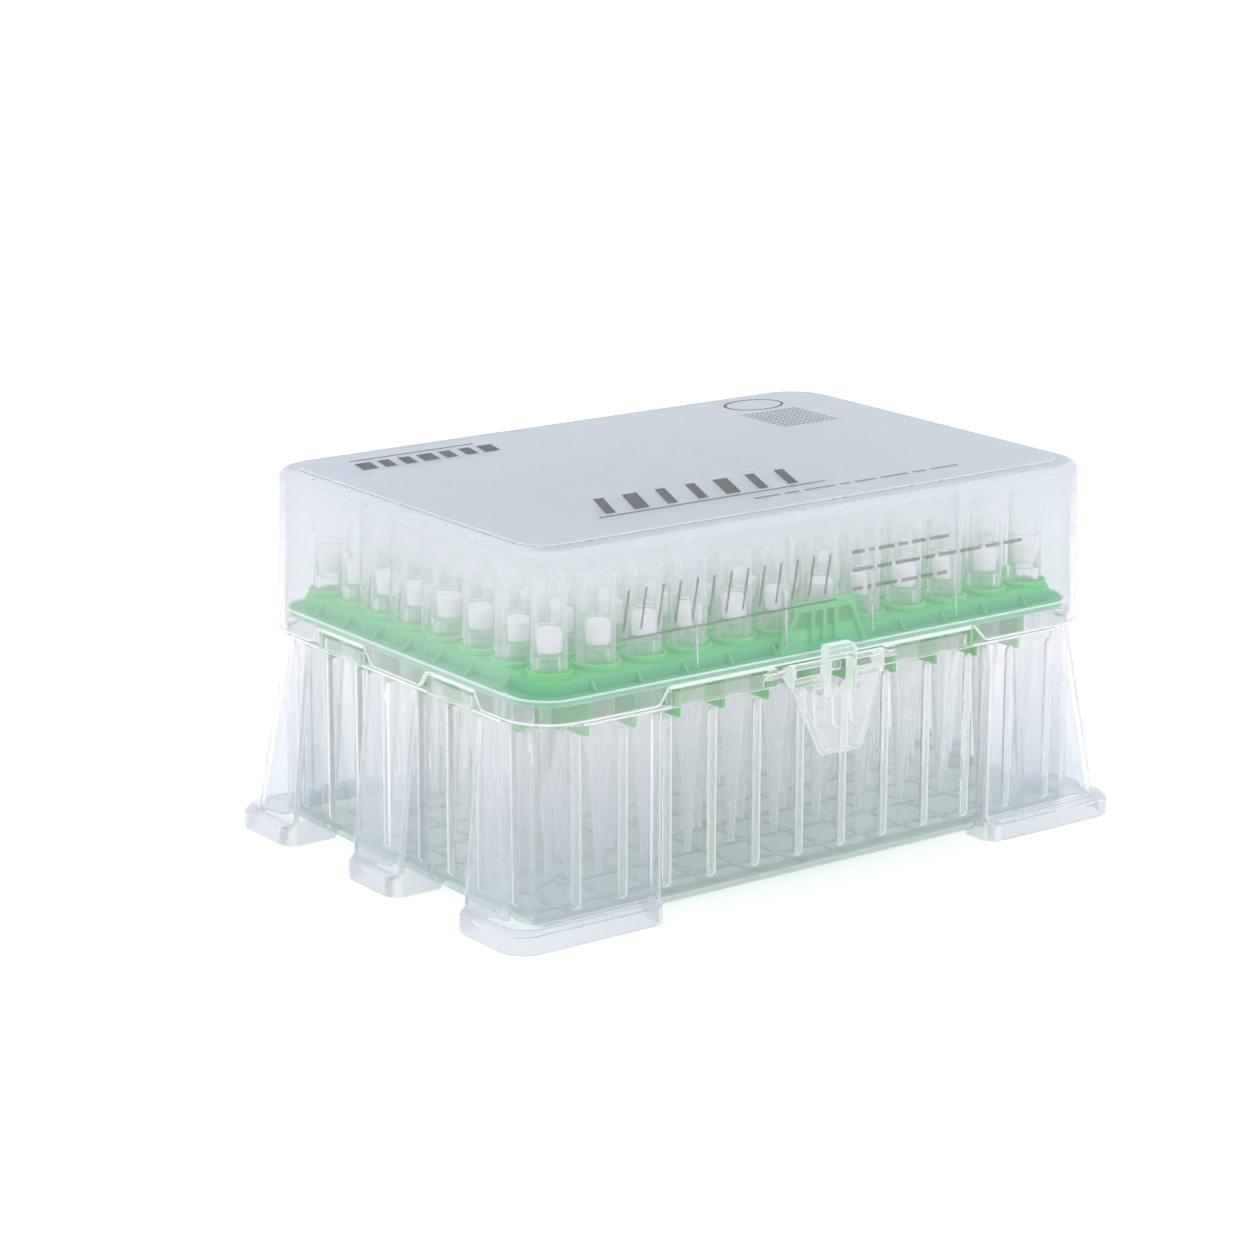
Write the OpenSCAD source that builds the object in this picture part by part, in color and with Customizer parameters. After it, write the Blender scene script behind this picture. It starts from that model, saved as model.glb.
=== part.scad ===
// Hinged box of pipette tips: a clear base on six flared feet, a green deck that
// holds twelve by eight filtered tips, a clear lid hinged at the back and a sprung
// latch at the front. X runs along the long side, the front faces -Y, +Z is up and
// the origin is the middle of the footprint on the bench.

/* [Footprint] */
// Length of the base over its feet
foot_l = 127.76; // [127:0.01:128.2]
// Width of the base over its feet
foot_w = 85.48; // [85:0.01:85.7]
// Corner radius of the feet
foot_r = 5.4; // [5:0.1:6]
// Height of the upright band round each foot
band_h = 2.8; // [2:0.1:3]

/* [Base] */
// Length of the inner container
box_l = 112.4; // [112:0.1:112.8]
// Width of the inner container
box_w = 76.6; // [76.2:0.1:76.8]
// Wall thickness of the base
base_wall = 1.0; // [0.8:0.05:1.1]
// Height of the container's underside above the bench
box_z0 = 0.5; // [0.4:0.1:0.8]
// Radius of the container's rounded lower edge
box_fillet = 3.6; // [3:0.1:4]
// Height of the step that carries the deck
seat_z = 38.0; // [38]
// Height of the base rim
rim_z = 39.1; // [39:0.05:39.2]

/* [Tips] */
// Spacing of the tips
pitch = 9; // [9]
// Tips along the long side
cols = 12; // [12]
// Tips along the short side
rows = 8; // [8]
// Outside diameter of a tip's hub
hub_d = 5.7; // [5.5:0.05:5.8]
// Bore of a tip's hub, where the pipette's nozzle seals
hub_bore_d = 4.9; // [4.8:0.02:4.94]
// Diameter of the filters
filter_d = 4.4; // [4.2:0.02:4.44]
// Height of the top of the tips above the bench
tip_top = 57.7; // [57:0.1:57.8]
// Height of the open lower end of the tips above the bench
tip_end = 7.1; // [7:0.1:9]

/* [Deck] */
// Length of the raised block of the deck
deck_l = 108; // [107:0.1:108.5]
// Width of the raised block of the deck
deck_w = 72; // [71:0.1:72.5]
// Height of the top face of the deck
deck_top = 41.3; // [41:0.1:41.5]
// Height of the collars round the tips above the deck
collar_h = 1.0; // [0.5:0.1:1.2]
// Outside diameter of the collars
collar_d = 7.6; // [7:0.1:8]
// Diameter of the holes in the deck
hole_d = 5.2; // [5.1:0.05:5.3]
// Lowest point of the ribs under the deck
rib_z0 = 31.8; // [31:0.1:34]

/* [Lid] */
// Overall height of the closed box
top_z = 63.15; // [62.9:0.05:63.4]
// Length of the lid at its lower edge
lid_l = 118.0; // [118:0.05:118.2]
// Width of the lid at its lower edge
lid_w = 81.8; // [81.8:0.05:82]
// Wall thickness of the lid
lid_wall = 1.1; // [1:0.05:1.15]
// Corner radius of the lid
lid_r = 9; // [8:0.1:9.5]
// Height of the lid's lower edge
lid_z0 = 35.5; // [35.4:0.05:35.6]
// Height of the lid's edge over its finger recesses
lid_z1 = 38.3; // [38.3:0.05:38.5]

/* [Hinge and latch] */
// Distance of the hinge axis behind the middle
hinge_y = 42.1; // [42.1]
// Height of the hinge axis
hinge_z = 36.6; // [36.6]
// Radius of the lid's hinge pins
pin_r = 1.0; // [1]
// Radial clearance round the pins
pin_gap = 0.05; // [0.03:0.01:0.08]
// Distance of the latch axis in front of the middle
latch_y = 40.1; // [40.1]
// Height of the latch axis
latch_z = 36.7; // [36.7]

/* [Hidden] */
$fn = 64;
e = 0.01;
clear_col = [0.86, 0.89, 0.92, 0.45];
green_col = [0.38, 0.78, 0.40];
white_col = [0.97, 0.97, 0.96];

// openings between the feet, as [from, to] along the edge
front_gap = [-34.1, 34.3];
side_gaps = [[7.3, 25.2], [-25.2, -7.3]];
// raised parts of the lid's edge: [low start, high start, high end, low end]
front_recess = [-34.7, -32.8, 30.9, 33.5];
side_recess = [[-25.9, -24.0, -10.6, -8.6], [5.6, 8.0, 21.9, 24.5]];
// rails that fill those recesses on the base: [from, to]
front_rails = [[-32.4, -11.4], [11.4, 30.6]];
back_rails = [[-32.4, -28.7], [-19.3, 19.3], [28.7, 30.6]];
side_rails = [[-23.6, -11.0], [8.4, 21.5]];
rail_z0 = 35.0;
ledge_z = 35.2;
rail_y = 40.7;
rail_x = 58.8;
rim_x = 57.3;
rim_y = 39.0;
clip_r = 1.7;
hinge_x = 24;

// ---- shared shapes ----

// rectangle with round corners, centred
module rr2(l, w, r) {
    square([l - 2 * r, w], center = true);
    square([l, w - 2 * r], center = true);
    for (x = [-1, 1], y = [-1, 1])
        translate([x * (l / 2 - r), y * (w / 2 - r)]) circle(r = r);
}
module slab(l, w, r, z0, z1)
    translate([0, 0, z0]) linear_extrude(z1 - z0) rr2(l, w, r);

// ring of points round a rectangle with round corners at height z
function ring(z, hx, hy, r, n) = [for (q = [0:3]) for (i = [0:n])
    let (a = 90 * q + 90 * i / n,
         cx = (q == 0 || q == 3) ? hx - r : r - hx,
         cy = (q < 2) ? hy - r : r - hy)
    [cx + r * cos(a), cy + r * sin(a), z]];

// solid through a list of such rings, each [z, half length, half width, radius]
module loft(levels, n = 8) {
    m = 4 * (n + 1);
    k = len(levels);
    pts = [for (l = levels) each ring(l[0], l[1], l[2], l[3], n)];
    polyhedron(pts, concat(
        [[for (i = [0:m - 1]) i]],
        [[for (i = [m - 1:-1:0]) (k - 1) * m + i]],
        [for (j = [0:k - 2]) for (i = [0:m - 1]) let (a = j * m + i, b = j * m + (i + 1) % m)
            each [[a, a + m, b], [b, a + m, b + m]]]), convexity = 4);
}

// extrude a profile drawn in Y and Z along X, from x0 to x1
module along_x(x0, x1) translate([x0, 0, 0]) rotate([90, 0, 90]) linear_extrude(x1 - x0) children();
// extrude a profile drawn in X and Z along Y, from y0 to y1
module along_y(y0, y1) translate([0, y1, 0]) rotate([90, 0, 0]) linear_extrude(y1 - y0) children();
module box3(x0, x1, y0, y1, z0, z1) translate([x0, y0, z0]) cube([x1 - x0, y1 - y0, z1 - z0]);
function tip_x(i) = (i - (cols - 1) / 2) * pitch;
function tip_y(j) = ((rows - 1) / 2 - j) * pitch;

// ---- base ----

// outer shape of the flared feet and the skirt above them, whose corners widen upwards
module skirt_out() loft([
    [0, foot_l / 2 - 0.35, foot_w / 2 - 0.35, foot_r - 0.35],
    [0.35, foot_l / 2, foot_w / 2, foot_r],
    [band_h, foot_l / 2, foot_w / 2, foot_r],
    [band_h + 0.45, foot_l / 2 - 0.2, foot_w / 2 - 0.2, foot_r - 0.2],
    [band_h + 0.8, foot_l / 2 - 0.7, foot_w / 2 - 0.7, foot_r - 0.5],
    [band_h + 1.1, foot_l / 2 - 1.5, foot_w / 2 - 1.5, foot_r - 0.7],
    [band_h + 1.8, 61.9, 40.8, 5],
    [20, 60.35, 40.75, 8.8],
    [ledge_z, rail_x, rail_y, 11.9]]);
module skirt_in() loft([
    [-1, foot_l / 2 - 1.1, foot_w / 2 - 1.1, foot_r - 1.1],
    [band_h - 0.3, foot_l / 2 - 1.1, foot_w / 2 - 1.1, foot_r - 1.1],
    [band_h + 0.1, foot_l / 2 - 1.7, foot_w / 2 - 1.7, foot_r - 1.4],
    [band_h + 0.5, 61.1, 40.0, 4.4],
    [20, 59.35, 39.75, 7.8],
    [ledge_z - 1, rail_x - 1.1, rail_y - 1.1, 10.8]]);

// levels of a rounded lower edge of radius rf on a block, from z0 up
function fillet(z0, rf, hx, hy, r) = [for (k = [0:5]) let (a = 18 * k, d = rf * (1 - sin(a)))
    [z0 + rf * (1 - cos(a)), hx - d, hy - d, max(r - d, 0.4)]];

module feet() difference() {
    skirt_out();
    difference() {
        skirt_in();
        // end wall of each foot, which reaches in under the container
        for (y = [-1, 1]) {
            box3(front_gap[0] - base_wall, front_gap[0] + 2, min(y * 36.2, y * 46), max(y * 36.2, y * 46), -2, 37);
            box3(front_gap[1] - 2, front_gap[1] + base_wall, min(y * 36.2, y * 46), max(y * 36.2, y * 46), -2, 37);
        }
        for (x = [-1, 1], g = side_gaps) {
            box3(min(x * 54.1, x * 66), max(x * 54.1, x * 66), g[0] - base_wall, g[0] + 2, -2, 37);
            box3(min(x * 54.1, x * 66), max(x * 54.1, x * 66), g[1] - 2, g[1] + base_wall, -2, 37);
        }
    }
    // the open spaces between the feet, below the ledge
    box3(front_gap[0], front_gap[1], -50, 50, -1, ledge_z - 0.6);
    for (g = side_gaps) box3(-70, 70, g[0], g[1], -1, ledge_z - 0.6);
    // the ledge leaves room for the latch, and is open below the rails
    box3(-10.9, 10.9, -50, -rim_y, 30, ledge_z + 1);
    for (r = front_rails) box3(r[0] + 0.9, r[1] - 0.9, -rail_y + 0.9, -rim_y, 30, ledge_z + 1);
    for (r = back_rails) if (r[1] - r[0] > 4) box3(r[0] + 0.9, r[1] - 0.9, rim_y, rail_y - 0.9, 30, ledge_z + 1);
    for (r = side_rails, x = [-1, 1])
        box3(min(x * rim_x, x * (rail_x - 0.9)), max(x * rim_x, x * (rail_x - 0.9)), r[0] + 0.9, r[1] - 0.9, 30, ledge_z + 1);
}

// rail under a recess of the lid, drawn for the front; x0 to x1
module rail(x0, x1, y0, y1) {
    box3(x0, x1, -y1, -y0 + 0.3, x1 - x0 > 4 ? seat_z - 0.9 : rail_z0, seat_z);
    box3(x0, x1, -y1, -y1 + 0.9, rail_z0, seat_z);
    for (x = [x0, x1 - 0.9]) box3(x, x + 0.9, -y1, -y0 + 0.3, rail_z0, seat_z);
}

module base() color(clear_col) difference() {
    union() {
        difference() {
            union() {
                loft(concat(fillet(box_z0, box_fillet, box_l / 2, box_w / 2, 3), [[35, box_l / 2, box_w / 2, 3]]));
                // rim band, with wide corners that clear the lid
                slab(2 * rim_x, 2 * rim_y, 6.6, 34.6, rim_z);
                feet();
                // flutes down the walls, one for each row and column of tips
                for (i = [0:cols - 1], y = [-1, 1])
                    translate([tip_x(i), y * (box_w / 2 - 0.65), 4.6]) cylinder(r = 1.15, h = 30.2, $fn = 24);
                for (j = [0:rows - 1], x = [-1, 1])
                    translate([x * (box_l / 2 - 0.65), tip_y(j), 4.6]) cylinder(r = 1.15, h = 30.2, $fn = 24);
                // ribs under the floor
                for (i = [-5:5]) box3(i * pitch - 0.4, i * pitch + 0.4, -34.2, 34.2, box_z0 - 0.4, box_z0 + 0.2);
                for (j = [-3:3]) box3(-52.1, 52.1, j * pitch - 0.4, j * pitch + 0.4, box_z0 - 0.4, box_z0 + 0.2);
            }
            // room for the tips
            loft(concat(fillet(box_z0 + base_wall, box_fillet - base_wall, box_l / 2 - base_wall, box_w / 2 - base_wall, 2),
                [[rim_z + 1, box_l / 2 - base_wall, box_w / 2 - base_wall, 2]]));
            // seat of the deck
            slab(2 * rim_x - 1.6, 2 * rim_y - 1.6, 5.8, seat_z, rim_z + 1);
        }
        // rails in the recesses of the lid
        for (r = front_rails) rail(r[0], r[1], rim_y, rail_y);
        for (r = back_rails) mirror([0, 1, 0]) rail(r[0], r[1], rim_y, rail_y);
        for (s = [0, 1], r = side_rails) mirror([s, 0, 0]) rotate(-90) rail(-r[1], -r[0], rim_x, rail_x);
        // bearing blocks of the latch
        for (x = [-1, 1]) box3(min(x * 11.4, x * 13.4), max(x * 11.4, x * 13.4), -41.1, -rim_y + 0.3, rail_z0, seat_z);
        // hinge clips
        for (x = [-1, 1]) {
            translate([x * hinge_x - 2.5, hinge_y, hinge_z]) rotate([0, 90, 0]) cylinder(r = clip_r, h = 5);
            box3(x * hinge_x - 2.5, x * hinge_x + 2.5, rim_y - 0.3, hinge_y - 1.0, rail_z0, hinge_z + 0.5);
        }
    }
    // bores of the latch pivots
    for (x = [-1, 1]) translate([x * 12 - 2, -latch_y, latch_z]) rotate([0, 90, 0]) cylinder(r = 0.6, h = 4);
    // bores and snap-in mouths of the hinge clips
    for (x = [-1, 1]) {
        translate([x * hinge_x - 3, hinge_y, hinge_z]) rotate([0, 90, 0]) cylinder(r = pin_r + pin_gap, h = 6);
        box3(x * hinge_x - 3, x * hinge_x + 3, hinge_y - 0.75, hinge_y + 0.75, hinge_z, hinge_z + 2);
    }
}

// ---- deck ----

module tip_deck() color(green_col) difference() {
    union() {
        // top plate and skirt of the block
        difference() {
            slab(deck_l, deck_w, 4.5, seat_z, deck_top);
            slab(deck_l - 2.4, deck_w - 2.4, 3.3, seat_z - 1, deck_top - 1.2);
        }
        // flange that rests in the base
        difference() {
            slab(2 * rim_x - 2.2, 2 * rim_y - 2.2, 5.5, seat_z, seat_z + 1);
            slab(deck_l - 1.2, deck_w - 1.2, 3.6, seat_z - 1, seat_z + 2);
        }
        // gussets between flange and block
        for (k = [-5:5], s = [0, 1]) mirror([0, s, 0])
            along_x(k * pitch - 0.4, k * pitch + 0.4)
                polygon([[-deck_w / 2 + 0.5, seat_z + 0.5], [-deck_w / 2 - 1.6, seat_z + 0.5],
                         [-deck_w / 2 - 1.6, seat_z + 1.1], [-deck_w / 2 + 0.5, deck_top - 0.3]]);
        for (k = [-3:3], s = [0, 1]) mirror([s, 0, 0])
            along_y(k * pitch - 0.4, k * pitch + 0.4)
                polygon([[-deck_l / 2 + 0.5, seat_z + 0.5], [-deck_l / 2 - 1.9, seat_z + 0.5],
                         [-deck_l / 2 - 1.9, seat_z + 1.1], [-deck_l / 2 + 0.5, deck_top - 0.3]]);
        // stiffening ribs between the tips
        for (k = [-5:5]) box3(k * pitch - 0.45, k * pitch + 0.45, -34.9, 34.9, rib_z0, deck_top - 1);
        for (k = [-3:3]) box3(-52.9, 52.9, k * pitch - 0.45, k * pitch + 0.45, rib_z0, deck_top - 1);
        // collars
        for (i = [0:cols - 1], j = [0:rows - 1])
            translate([tip_x(i), tip_y(j), deck_top - 0.2]) cylinder(d = collar_d, h = collar_h + 0.2, $fn = 40);
        // lifting tab at the front
        along_y(-37.9, -36.9) polygon([[-9.2, seat_z + 0.4], [9.2, seat_z + 0.4], [6.0, 47.0], [-6.0, 47.0]]);
        along_y(-38.6, -36.9) polygon([[-6.5, 45.8], [6.5, 45.8], [6.1, 47.2], [-6.1, 47.2]]);
        for (s = [-1, 1]) along_y(-38.1, -37.5) polygon([[s * 9.2, seat_z + 0.5], [s * 8.0, seat_z + 0.5],
                                                      [s * 4.9, 46.2], [s * 6.1, 46.2]]);
        for (x = [-2.4, 0, 2.4]) box3(x - 0.35, x + 0.35, -38.2, -37.5, 40.4, 45.9);
        // web that ties the tab to the block
        box3(-0.5, 0.5, -37.2, -35.8, seat_z + 0.5, 43.6);
    }
    for (i = [0:cols - 1], j = [0:rows - 1])
        translate([tip_x(i), tip_y(j), deck_top - 2]) cylinder(d = hole_d, h = 4, $fn = 40);
}

// ---- lid ----

lid_hx = lid_l / 2;
lid_hy = lid_w / 2;
module lid_out() loft([
    [lid_z0, lid_hx, lid_hy, lid_r],
    [top_z - 1.6, lid_hx - 0.47, lid_hy - 0.7, lid_r - 0.2],
    [top_z - 1.1, lid_hx - 0.55, lid_hy - 0.8, lid_r - 0.3],
    [top_z - 0.65, lid_hx - 0.85, lid_hy - 1.1, lid_r - 0.6],
    [top_z - 0.38, lid_hx - 1.3, lid_hy - 1.55, lid_r - 1.0],
    [top_z - 0.3, lid_hx - 1.9, lid_hy - 2.15, lid_r - 1.6]]);
module lid_in() loft([
    [lid_z0 - 1, lid_hx - lid_wall, lid_hy - lid_wall, lid_r - lid_wall],
    [top_z - 1.9, lid_hx - 0.47 - lid_wall, lid_hy - 0.7 - lid_wall, lid_r - 0.2 - lid_wall],
    [top_z - 1.4, lid_hx - 0.8 - lid_wall, lid_hy - 1.05 - lid_wall, lid_r - 0.5 - lid_wall],
    [top_z - 1.2, lid_hx - 1.3 - lid_wall, lid_hy - 1.6 - lid_wall, lid_r - 1 - lid_wall]]);

// stiffening rib on the inside of a wall, drawn for the front wall at x
module lid_rib(x, y) along_x(x - 0.4, x + 0.4)
    polygon([[-y + 0.55, 40.6], [-y - 0.1, 40.6], [-y + 0.6, top_z - 0.9], [-y + 3.1, top_z - 0.9]]);

module lid() color(clear_col) {
    difference() {
        union() {
            lid_out();
            // raised panel of the top
            slab(110.4, 71.6, 5, top_z - 0.8, top_z);
        }
        lid_in();
        // recesses of the lower edge
        for (y = [-1, 1]) along_y(min(y * 37, y * 43), max(y * 37, y * 43))
            polygon([[front_recess[0], lid_z0 - 1], [front_recess[0], lid_z0], [front_recess[1], lid_z1],
                     [front_recess[2], lid_z1], [front_recess[3], lid_z0], [front_recess[3], lid_z0 - 1]]);
        for (x = [-1, 1], r = side_recess) along_x(min(x * 56, x * 62), max(x * 56, x * 62))
            polygon([[r[0], lid_z0 - 1], [r[0], lid_z0], [r[1], lid_z1],
                     [r[2], lid_z1], [r[3], lid_z0], [r[3], lid_z0 - 1]]);
    }
    for (x = [-27, -9, 9, 27], s = [0, 1]) mirror([0, s, 0]) lid_rib(x, lid_hy - lid_wall);
    for (y = [-9, 0, 9], s = [0, 1]) mirror([s, 0, 0]) rotate(-90) lid_rib(y, lid_hx - lid_wall);
    // tongue and nib that the latch holds
    box3(-2, 2, -lid_hy + 0.1, -lid_hy + 0.9, 35.8, 39.5);
    along_y(-lid_hy - 0.25, -lid_hy + 0.3) polygon([[-1.3, 37.9], [1.3, 37.9], [0.3, 36.2], [-0.3, 36.2]]);
    // hinge arms and pins
    for (x = [-1, 1]) {
        for (a = [-3.7, 2.8]) {
            along_x(x * hinge_x + a, x * hinge_x + a + 0.9)
                polygon([[40.2, 42], [40.2, 38.4], [40.6, 38.2], [40.6, hinge_z],
                         [43.6, hinge_z], [43.25, 37.8], [41, 42]]);
            translate([x * hinge_x + a, hinge_y, hinge_z]) rotate([0, 90, 0]) cylinder(r = 1.5, h = 0.9);
        }
        translate([x * hinge_x - 3.7, hinge_y, hinge_z]) rotate([0, 90, 0]) cylinder(r = pin_r, h = 7.4);
    }
}

// ---- latch ----

// outline of the flap, inset by d
module flap2(d) polygon([[-9.6 + d, 13.4 - d], [9.6 - d, 13.4 - d], [9.6 - d, 12.6], [4.2 - d * 0.7, d], [-4.2 + d * 0.7, d], [-9.6 + d, 12.6]]);

module latch() color(clear_col) {
    // flap, leaning out towards its lower end
    translate([0, -42.9, 22.7]) rotate([84, 0, 0]) {
        linear_extrude(0.6) flap2(0);
        linear_extrude(0.9) difference() { flap2(0); flap2(0.8); }
        for (x = [-3.4, 0, 3.4]) translate([x - 0.3, 3.2, 0.5]) cube([0.6, 6.4, 0.4]);
    }
    // cross bars
    for (z = [34.6, 37.5]) box3(-9.6, 9.6, -42.6, -41.6, z, z + 0.95);
    // ears and pivots
    for (x = [-1, 1]) {
        along_x(min(x * 8.8, x * 9.6), max(x * 8.8, x * 9.6))
            polygon([[-42.6, 34.6], [-42.6, 38.45], [-41.6, 38.45], [-40.1, 37.5], [-40.1, 35.9], [-41.6, 34.6]]);
        translate([min(x * 8.8, x * 9.6), -latch_y, latch_z]) rotate([0, 90, 0]) cylinder(r = 0.8, h = 0.8);
        translate([min(x * 9.5, x * 12.9), -latch_y, latch_z]) rotate([0, 90, 0]) cylinder(r = 0.55, h = 3.4);
    }
    // hook tower with its window
    difference() {
        along_y(-43.5, -41.5) polygon([[-3.1, 32.4], [3.1, 32.4], [3.1, 40.1], [2.3, 40.9], [-2.6, 40.9], [-3.1, 40.4]]);
        box3(-2.3, 2.3, -44, -41, 33.2, 38.4);
        translate([0, -43.5, 40.9]) rotate([45, 0, 0]) cube([8, 0.9, 0.9], center = true);
    }
}

// ---- tips and filters ----

module tip() rotate_extrude($fn = 32) polygon([
    [hub_bore_d / 2 + 0.12, tip_top], [hub_bore_d / 2, tip_top - 0.4], [hub_bore_d / 2, 50.6], [filter_d / 2 + 0.02, 50.1], [filter_d / 2 + 0.02, 44.6], [1.75, 44.3],
    [1.62, 32], [0.28, tip_end], [0.55, tip_end], [2.05, 30], [2.45, 38], [2.5, deck_top + collar_h],
    [hub_d / 2, deck_top + collar_h], [hub_d / 2, tip_top - 0.2], [hub_d / 2 - 0.15, tip_top]]);

module tips_row(j) color(clear_col) for (i = [0:cols - 1]) translate([tip_x(i), tip_y(j), 0]) tip();
module filters_row(j) color(white_col) for (i = [0:cols - 1])
    translate([tip_x(i), tip_y(j), 44.65]) cylinder(d = filter_d, h = 4.2, $fn = 32);

base();
tip_deck();
lid();
latch();
tips_row(0);  // tips_row_a
tips_row(1);  // tips_row_b
tips_row(2);  // tips_row_c
tips_row(3);  // tips_row_d
tips_row(4);  // tips_row_e
tips_row(5);  // tips_row_f
tips_row(6);  // tips_row_g
tips_row(7);  // tips_row_h
filters_row(0);  // filters_row_a
filters_row(1);  // filters_row_b
filters_row(2);  // filters_row_c
filters_row(3);  // filters_row_d
filters_row(4);  // filters_row_e
filters_row(5);  // filters_row_f
filters_row(6);  // filters_row_g
filters_row(7);  // filters_row_h
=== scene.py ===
import math
import random

import bmesh
import bpy
from mathutils import Matrix, Vector


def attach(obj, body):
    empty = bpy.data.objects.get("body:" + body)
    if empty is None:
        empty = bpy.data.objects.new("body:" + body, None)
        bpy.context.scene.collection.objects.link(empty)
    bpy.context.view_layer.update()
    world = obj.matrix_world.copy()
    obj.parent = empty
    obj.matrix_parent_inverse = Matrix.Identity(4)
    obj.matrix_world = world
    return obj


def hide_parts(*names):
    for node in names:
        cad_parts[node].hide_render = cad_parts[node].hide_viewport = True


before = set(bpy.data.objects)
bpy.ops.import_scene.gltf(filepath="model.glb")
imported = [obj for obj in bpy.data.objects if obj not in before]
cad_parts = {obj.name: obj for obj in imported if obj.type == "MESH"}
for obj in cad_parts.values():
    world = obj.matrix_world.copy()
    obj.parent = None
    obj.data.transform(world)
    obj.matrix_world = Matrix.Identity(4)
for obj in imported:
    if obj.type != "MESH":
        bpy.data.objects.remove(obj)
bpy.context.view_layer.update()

random.seed(7)
MM = 0.001

# ------------------------------------------------------------------
# Sizes in millimetres, the same as the CAD part's
# ------------------------------------------------------------------
FOOT_X, FOOT_Y, FOOT_R = 63.88, 42.74, 5.4
BAND = 2.8
BOX_X, BOX_Y, BOX_Z0, BOX_FILLET = 56.2, 38.3, 0.5, 3.6
SEAT_Z, RIM_Z = 38.0, 39.1
RIM_X, RIM_Y = 57.3, 39.0
LEDGE_Z, RAIL_X, RAIL_Y, RAIL_Z0 = 35.2, 58.8, 40.7, 35.0
PITCH, COLS, ROWS = 9.0, 12, 8
TIP_TOP, TIP_END = 57.7, 7.1
DECK_X, DECK_Y, DECK_TOP = 54.0, 36.0, 41.3
TOP_Z, LID_X, LID_Y, LID_R = 63.15, 59.0, 40.9, 9.0
LID_Z0, LID_Z1, LID_WALL = 35.5, 38.3, 1.1
HINGE_Y, HINGE_Z, HINGE_X = 42.1, 36.6, 24.0
LATCH_Y, LATCH_Z = 40.1, 36.7
FRONT_GAP = (-34.1, 34.3)
SIDE_GAPS = ((7.3, 25.2), (-25.2, -7.3))
FRONT_RECESS = (-34.7, -32.8, 30.9, 33.5)
SIDE_RECESS = ((-25.9, -24.0, -10.6, -8.6), (5.6, 8.0, 21.9, 24.5))
FRONT_RAILS = ((-32.4, -11.4), (11.4, 30.6))
BACK_RAILS = ((-32.4, -28.7), (-19.3, 19.3), (28.7, 30.6))
SIDE_RAILS = ((-23.6, -11.0), (8.4, 21.5))


def tip_x(i):
    return (i - (COLS - 1) / 2) * PITCH


def tip_y(j):
    return ((ROWS - 1) / 2 - j) * PITCH


# ------------------------------------------------------------------
# Mesh building: every solid is made closed, in millimetres
# ------------------------------------------------------------------
def solid(verts, faces, name="part"):
    me = bpy.data.meshes.new(name)
    me.from_pydata([tuple(v) for v in verts], [], faces)
    bm = bmesh.new()
    bm.from_mesh(me)
    bmesh.ops.remove_doubles(bm, verts=bm.verts, dist=1e-5)
    bmesh.ops.recalc_face_normals(bm, faces=bm.faces)
    bm.to_mesh(me)
    bm.free()
    o = bpy.data.objects.new(name, me)
    bpy.context.scene.collection.objects.link(o)
    return o


def grid(rows):
    """Closed solid from rings of points, the first and last ring capped."""
    m = len(rows[0])
    verts = [p for r in rows for p in r]
    faces = []
    for j in range(len(rows) - 1):
        for i in range(m):
            a, b = j * m + i, j * m + (i + 1) % m
            faces.append((a, b, b + m, a + m))
    faces.append(tuple(range(m - 1, -1, -1)))
    faces.append(tuple((len(rows) - 1) * m + i for i in range(m)))
    return solid(verts, faces)


def ring(z, hx, hy, r, n=14):
    pts = []
    for q in range(4):
        cx = hx - r if q in (0, 3) else r - hx
        cy = hy - r if q < 2 else r - hy
        for i in range(n + 1):
            a = math.radians(90 * q + 90 * i / n)
            pts.append((cx + r * math.cos(a), cy + r * math.sin(a), z))
    return pts


def stack(levels, n=14):
    return grid([ring(*lv, n=n) for lv in levels])


def slab(hx, hy, r, z0, z1, c0=0.0, c1=0.0, n=14):
    """Rounded block with its lower and upper edges rounded by c0 and c1."""
    lv = []
    if c0:
        for k in range(4):
            a = math.radians(90 * k / 3)
            lv.append((z0 + c0 * (1 - math.sin(a)), c0 * (1 - math.cos(a))))
        lv = lv[::-1]
        lv = [(z, d) for z, d in lv]
        lv = sorted(lv, key=lambda t: t[0])
    else:
        lv.append((z0, 0.0))
    if c1:
        top = []
        for k in range(4):
            a = math.radians(90 * k / 3)
            top.append((z1 - c1 * (1 - math.sin(a)), c1 * (1 - math.cos(a))))
        lv += sorted(top, key=lambda t: t[0])
    else:
        lv.append((z1, 0.0))
    return stack([(z, hx - d, hy - d, max(r - d, 0.05)) for z, d in lv], n)


def box(x0, x1, y0, y1, z0, z1):
    v = [(x, y, z) for z in (z0, z1) for y in (y0, y1) for x in (x0, x1)]
    f = [(0, 2, 3, 1), (4, 5, 7, 6), (0, 1, 5, 4), (2, 6, 7, 3), (0, 4, 6, 2), (1, 3, 7, 5)]
    return solid(v, f)


def prism(poly, axis, a0, a1, c=0.0):
    """Polygon swept along an axis from a0 to a1, its two ends chamfered by c. For x the polygon is (y, z), for y it is (x, z), for z it is (x, y)."""
    def place(p, a):
        return {"x": (a, p[0], p[1]), "y": (p[0], a, p[1]), "z": (p[0], p[1], a)}[axis]

    steps = [(a0, 0.0), (a1, 0.0)]
    if c:
        steps = [(a0, c), (a0 + c * 0.3, c * 0.3), (a0 + c, 0.0), (a1 - c, 0.0), (a1 - c * 0.3, c * 0.3), (a1, c)]
    return grid([[place(p, a) for p in inset(poly, d)] for a, d in steps])


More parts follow.
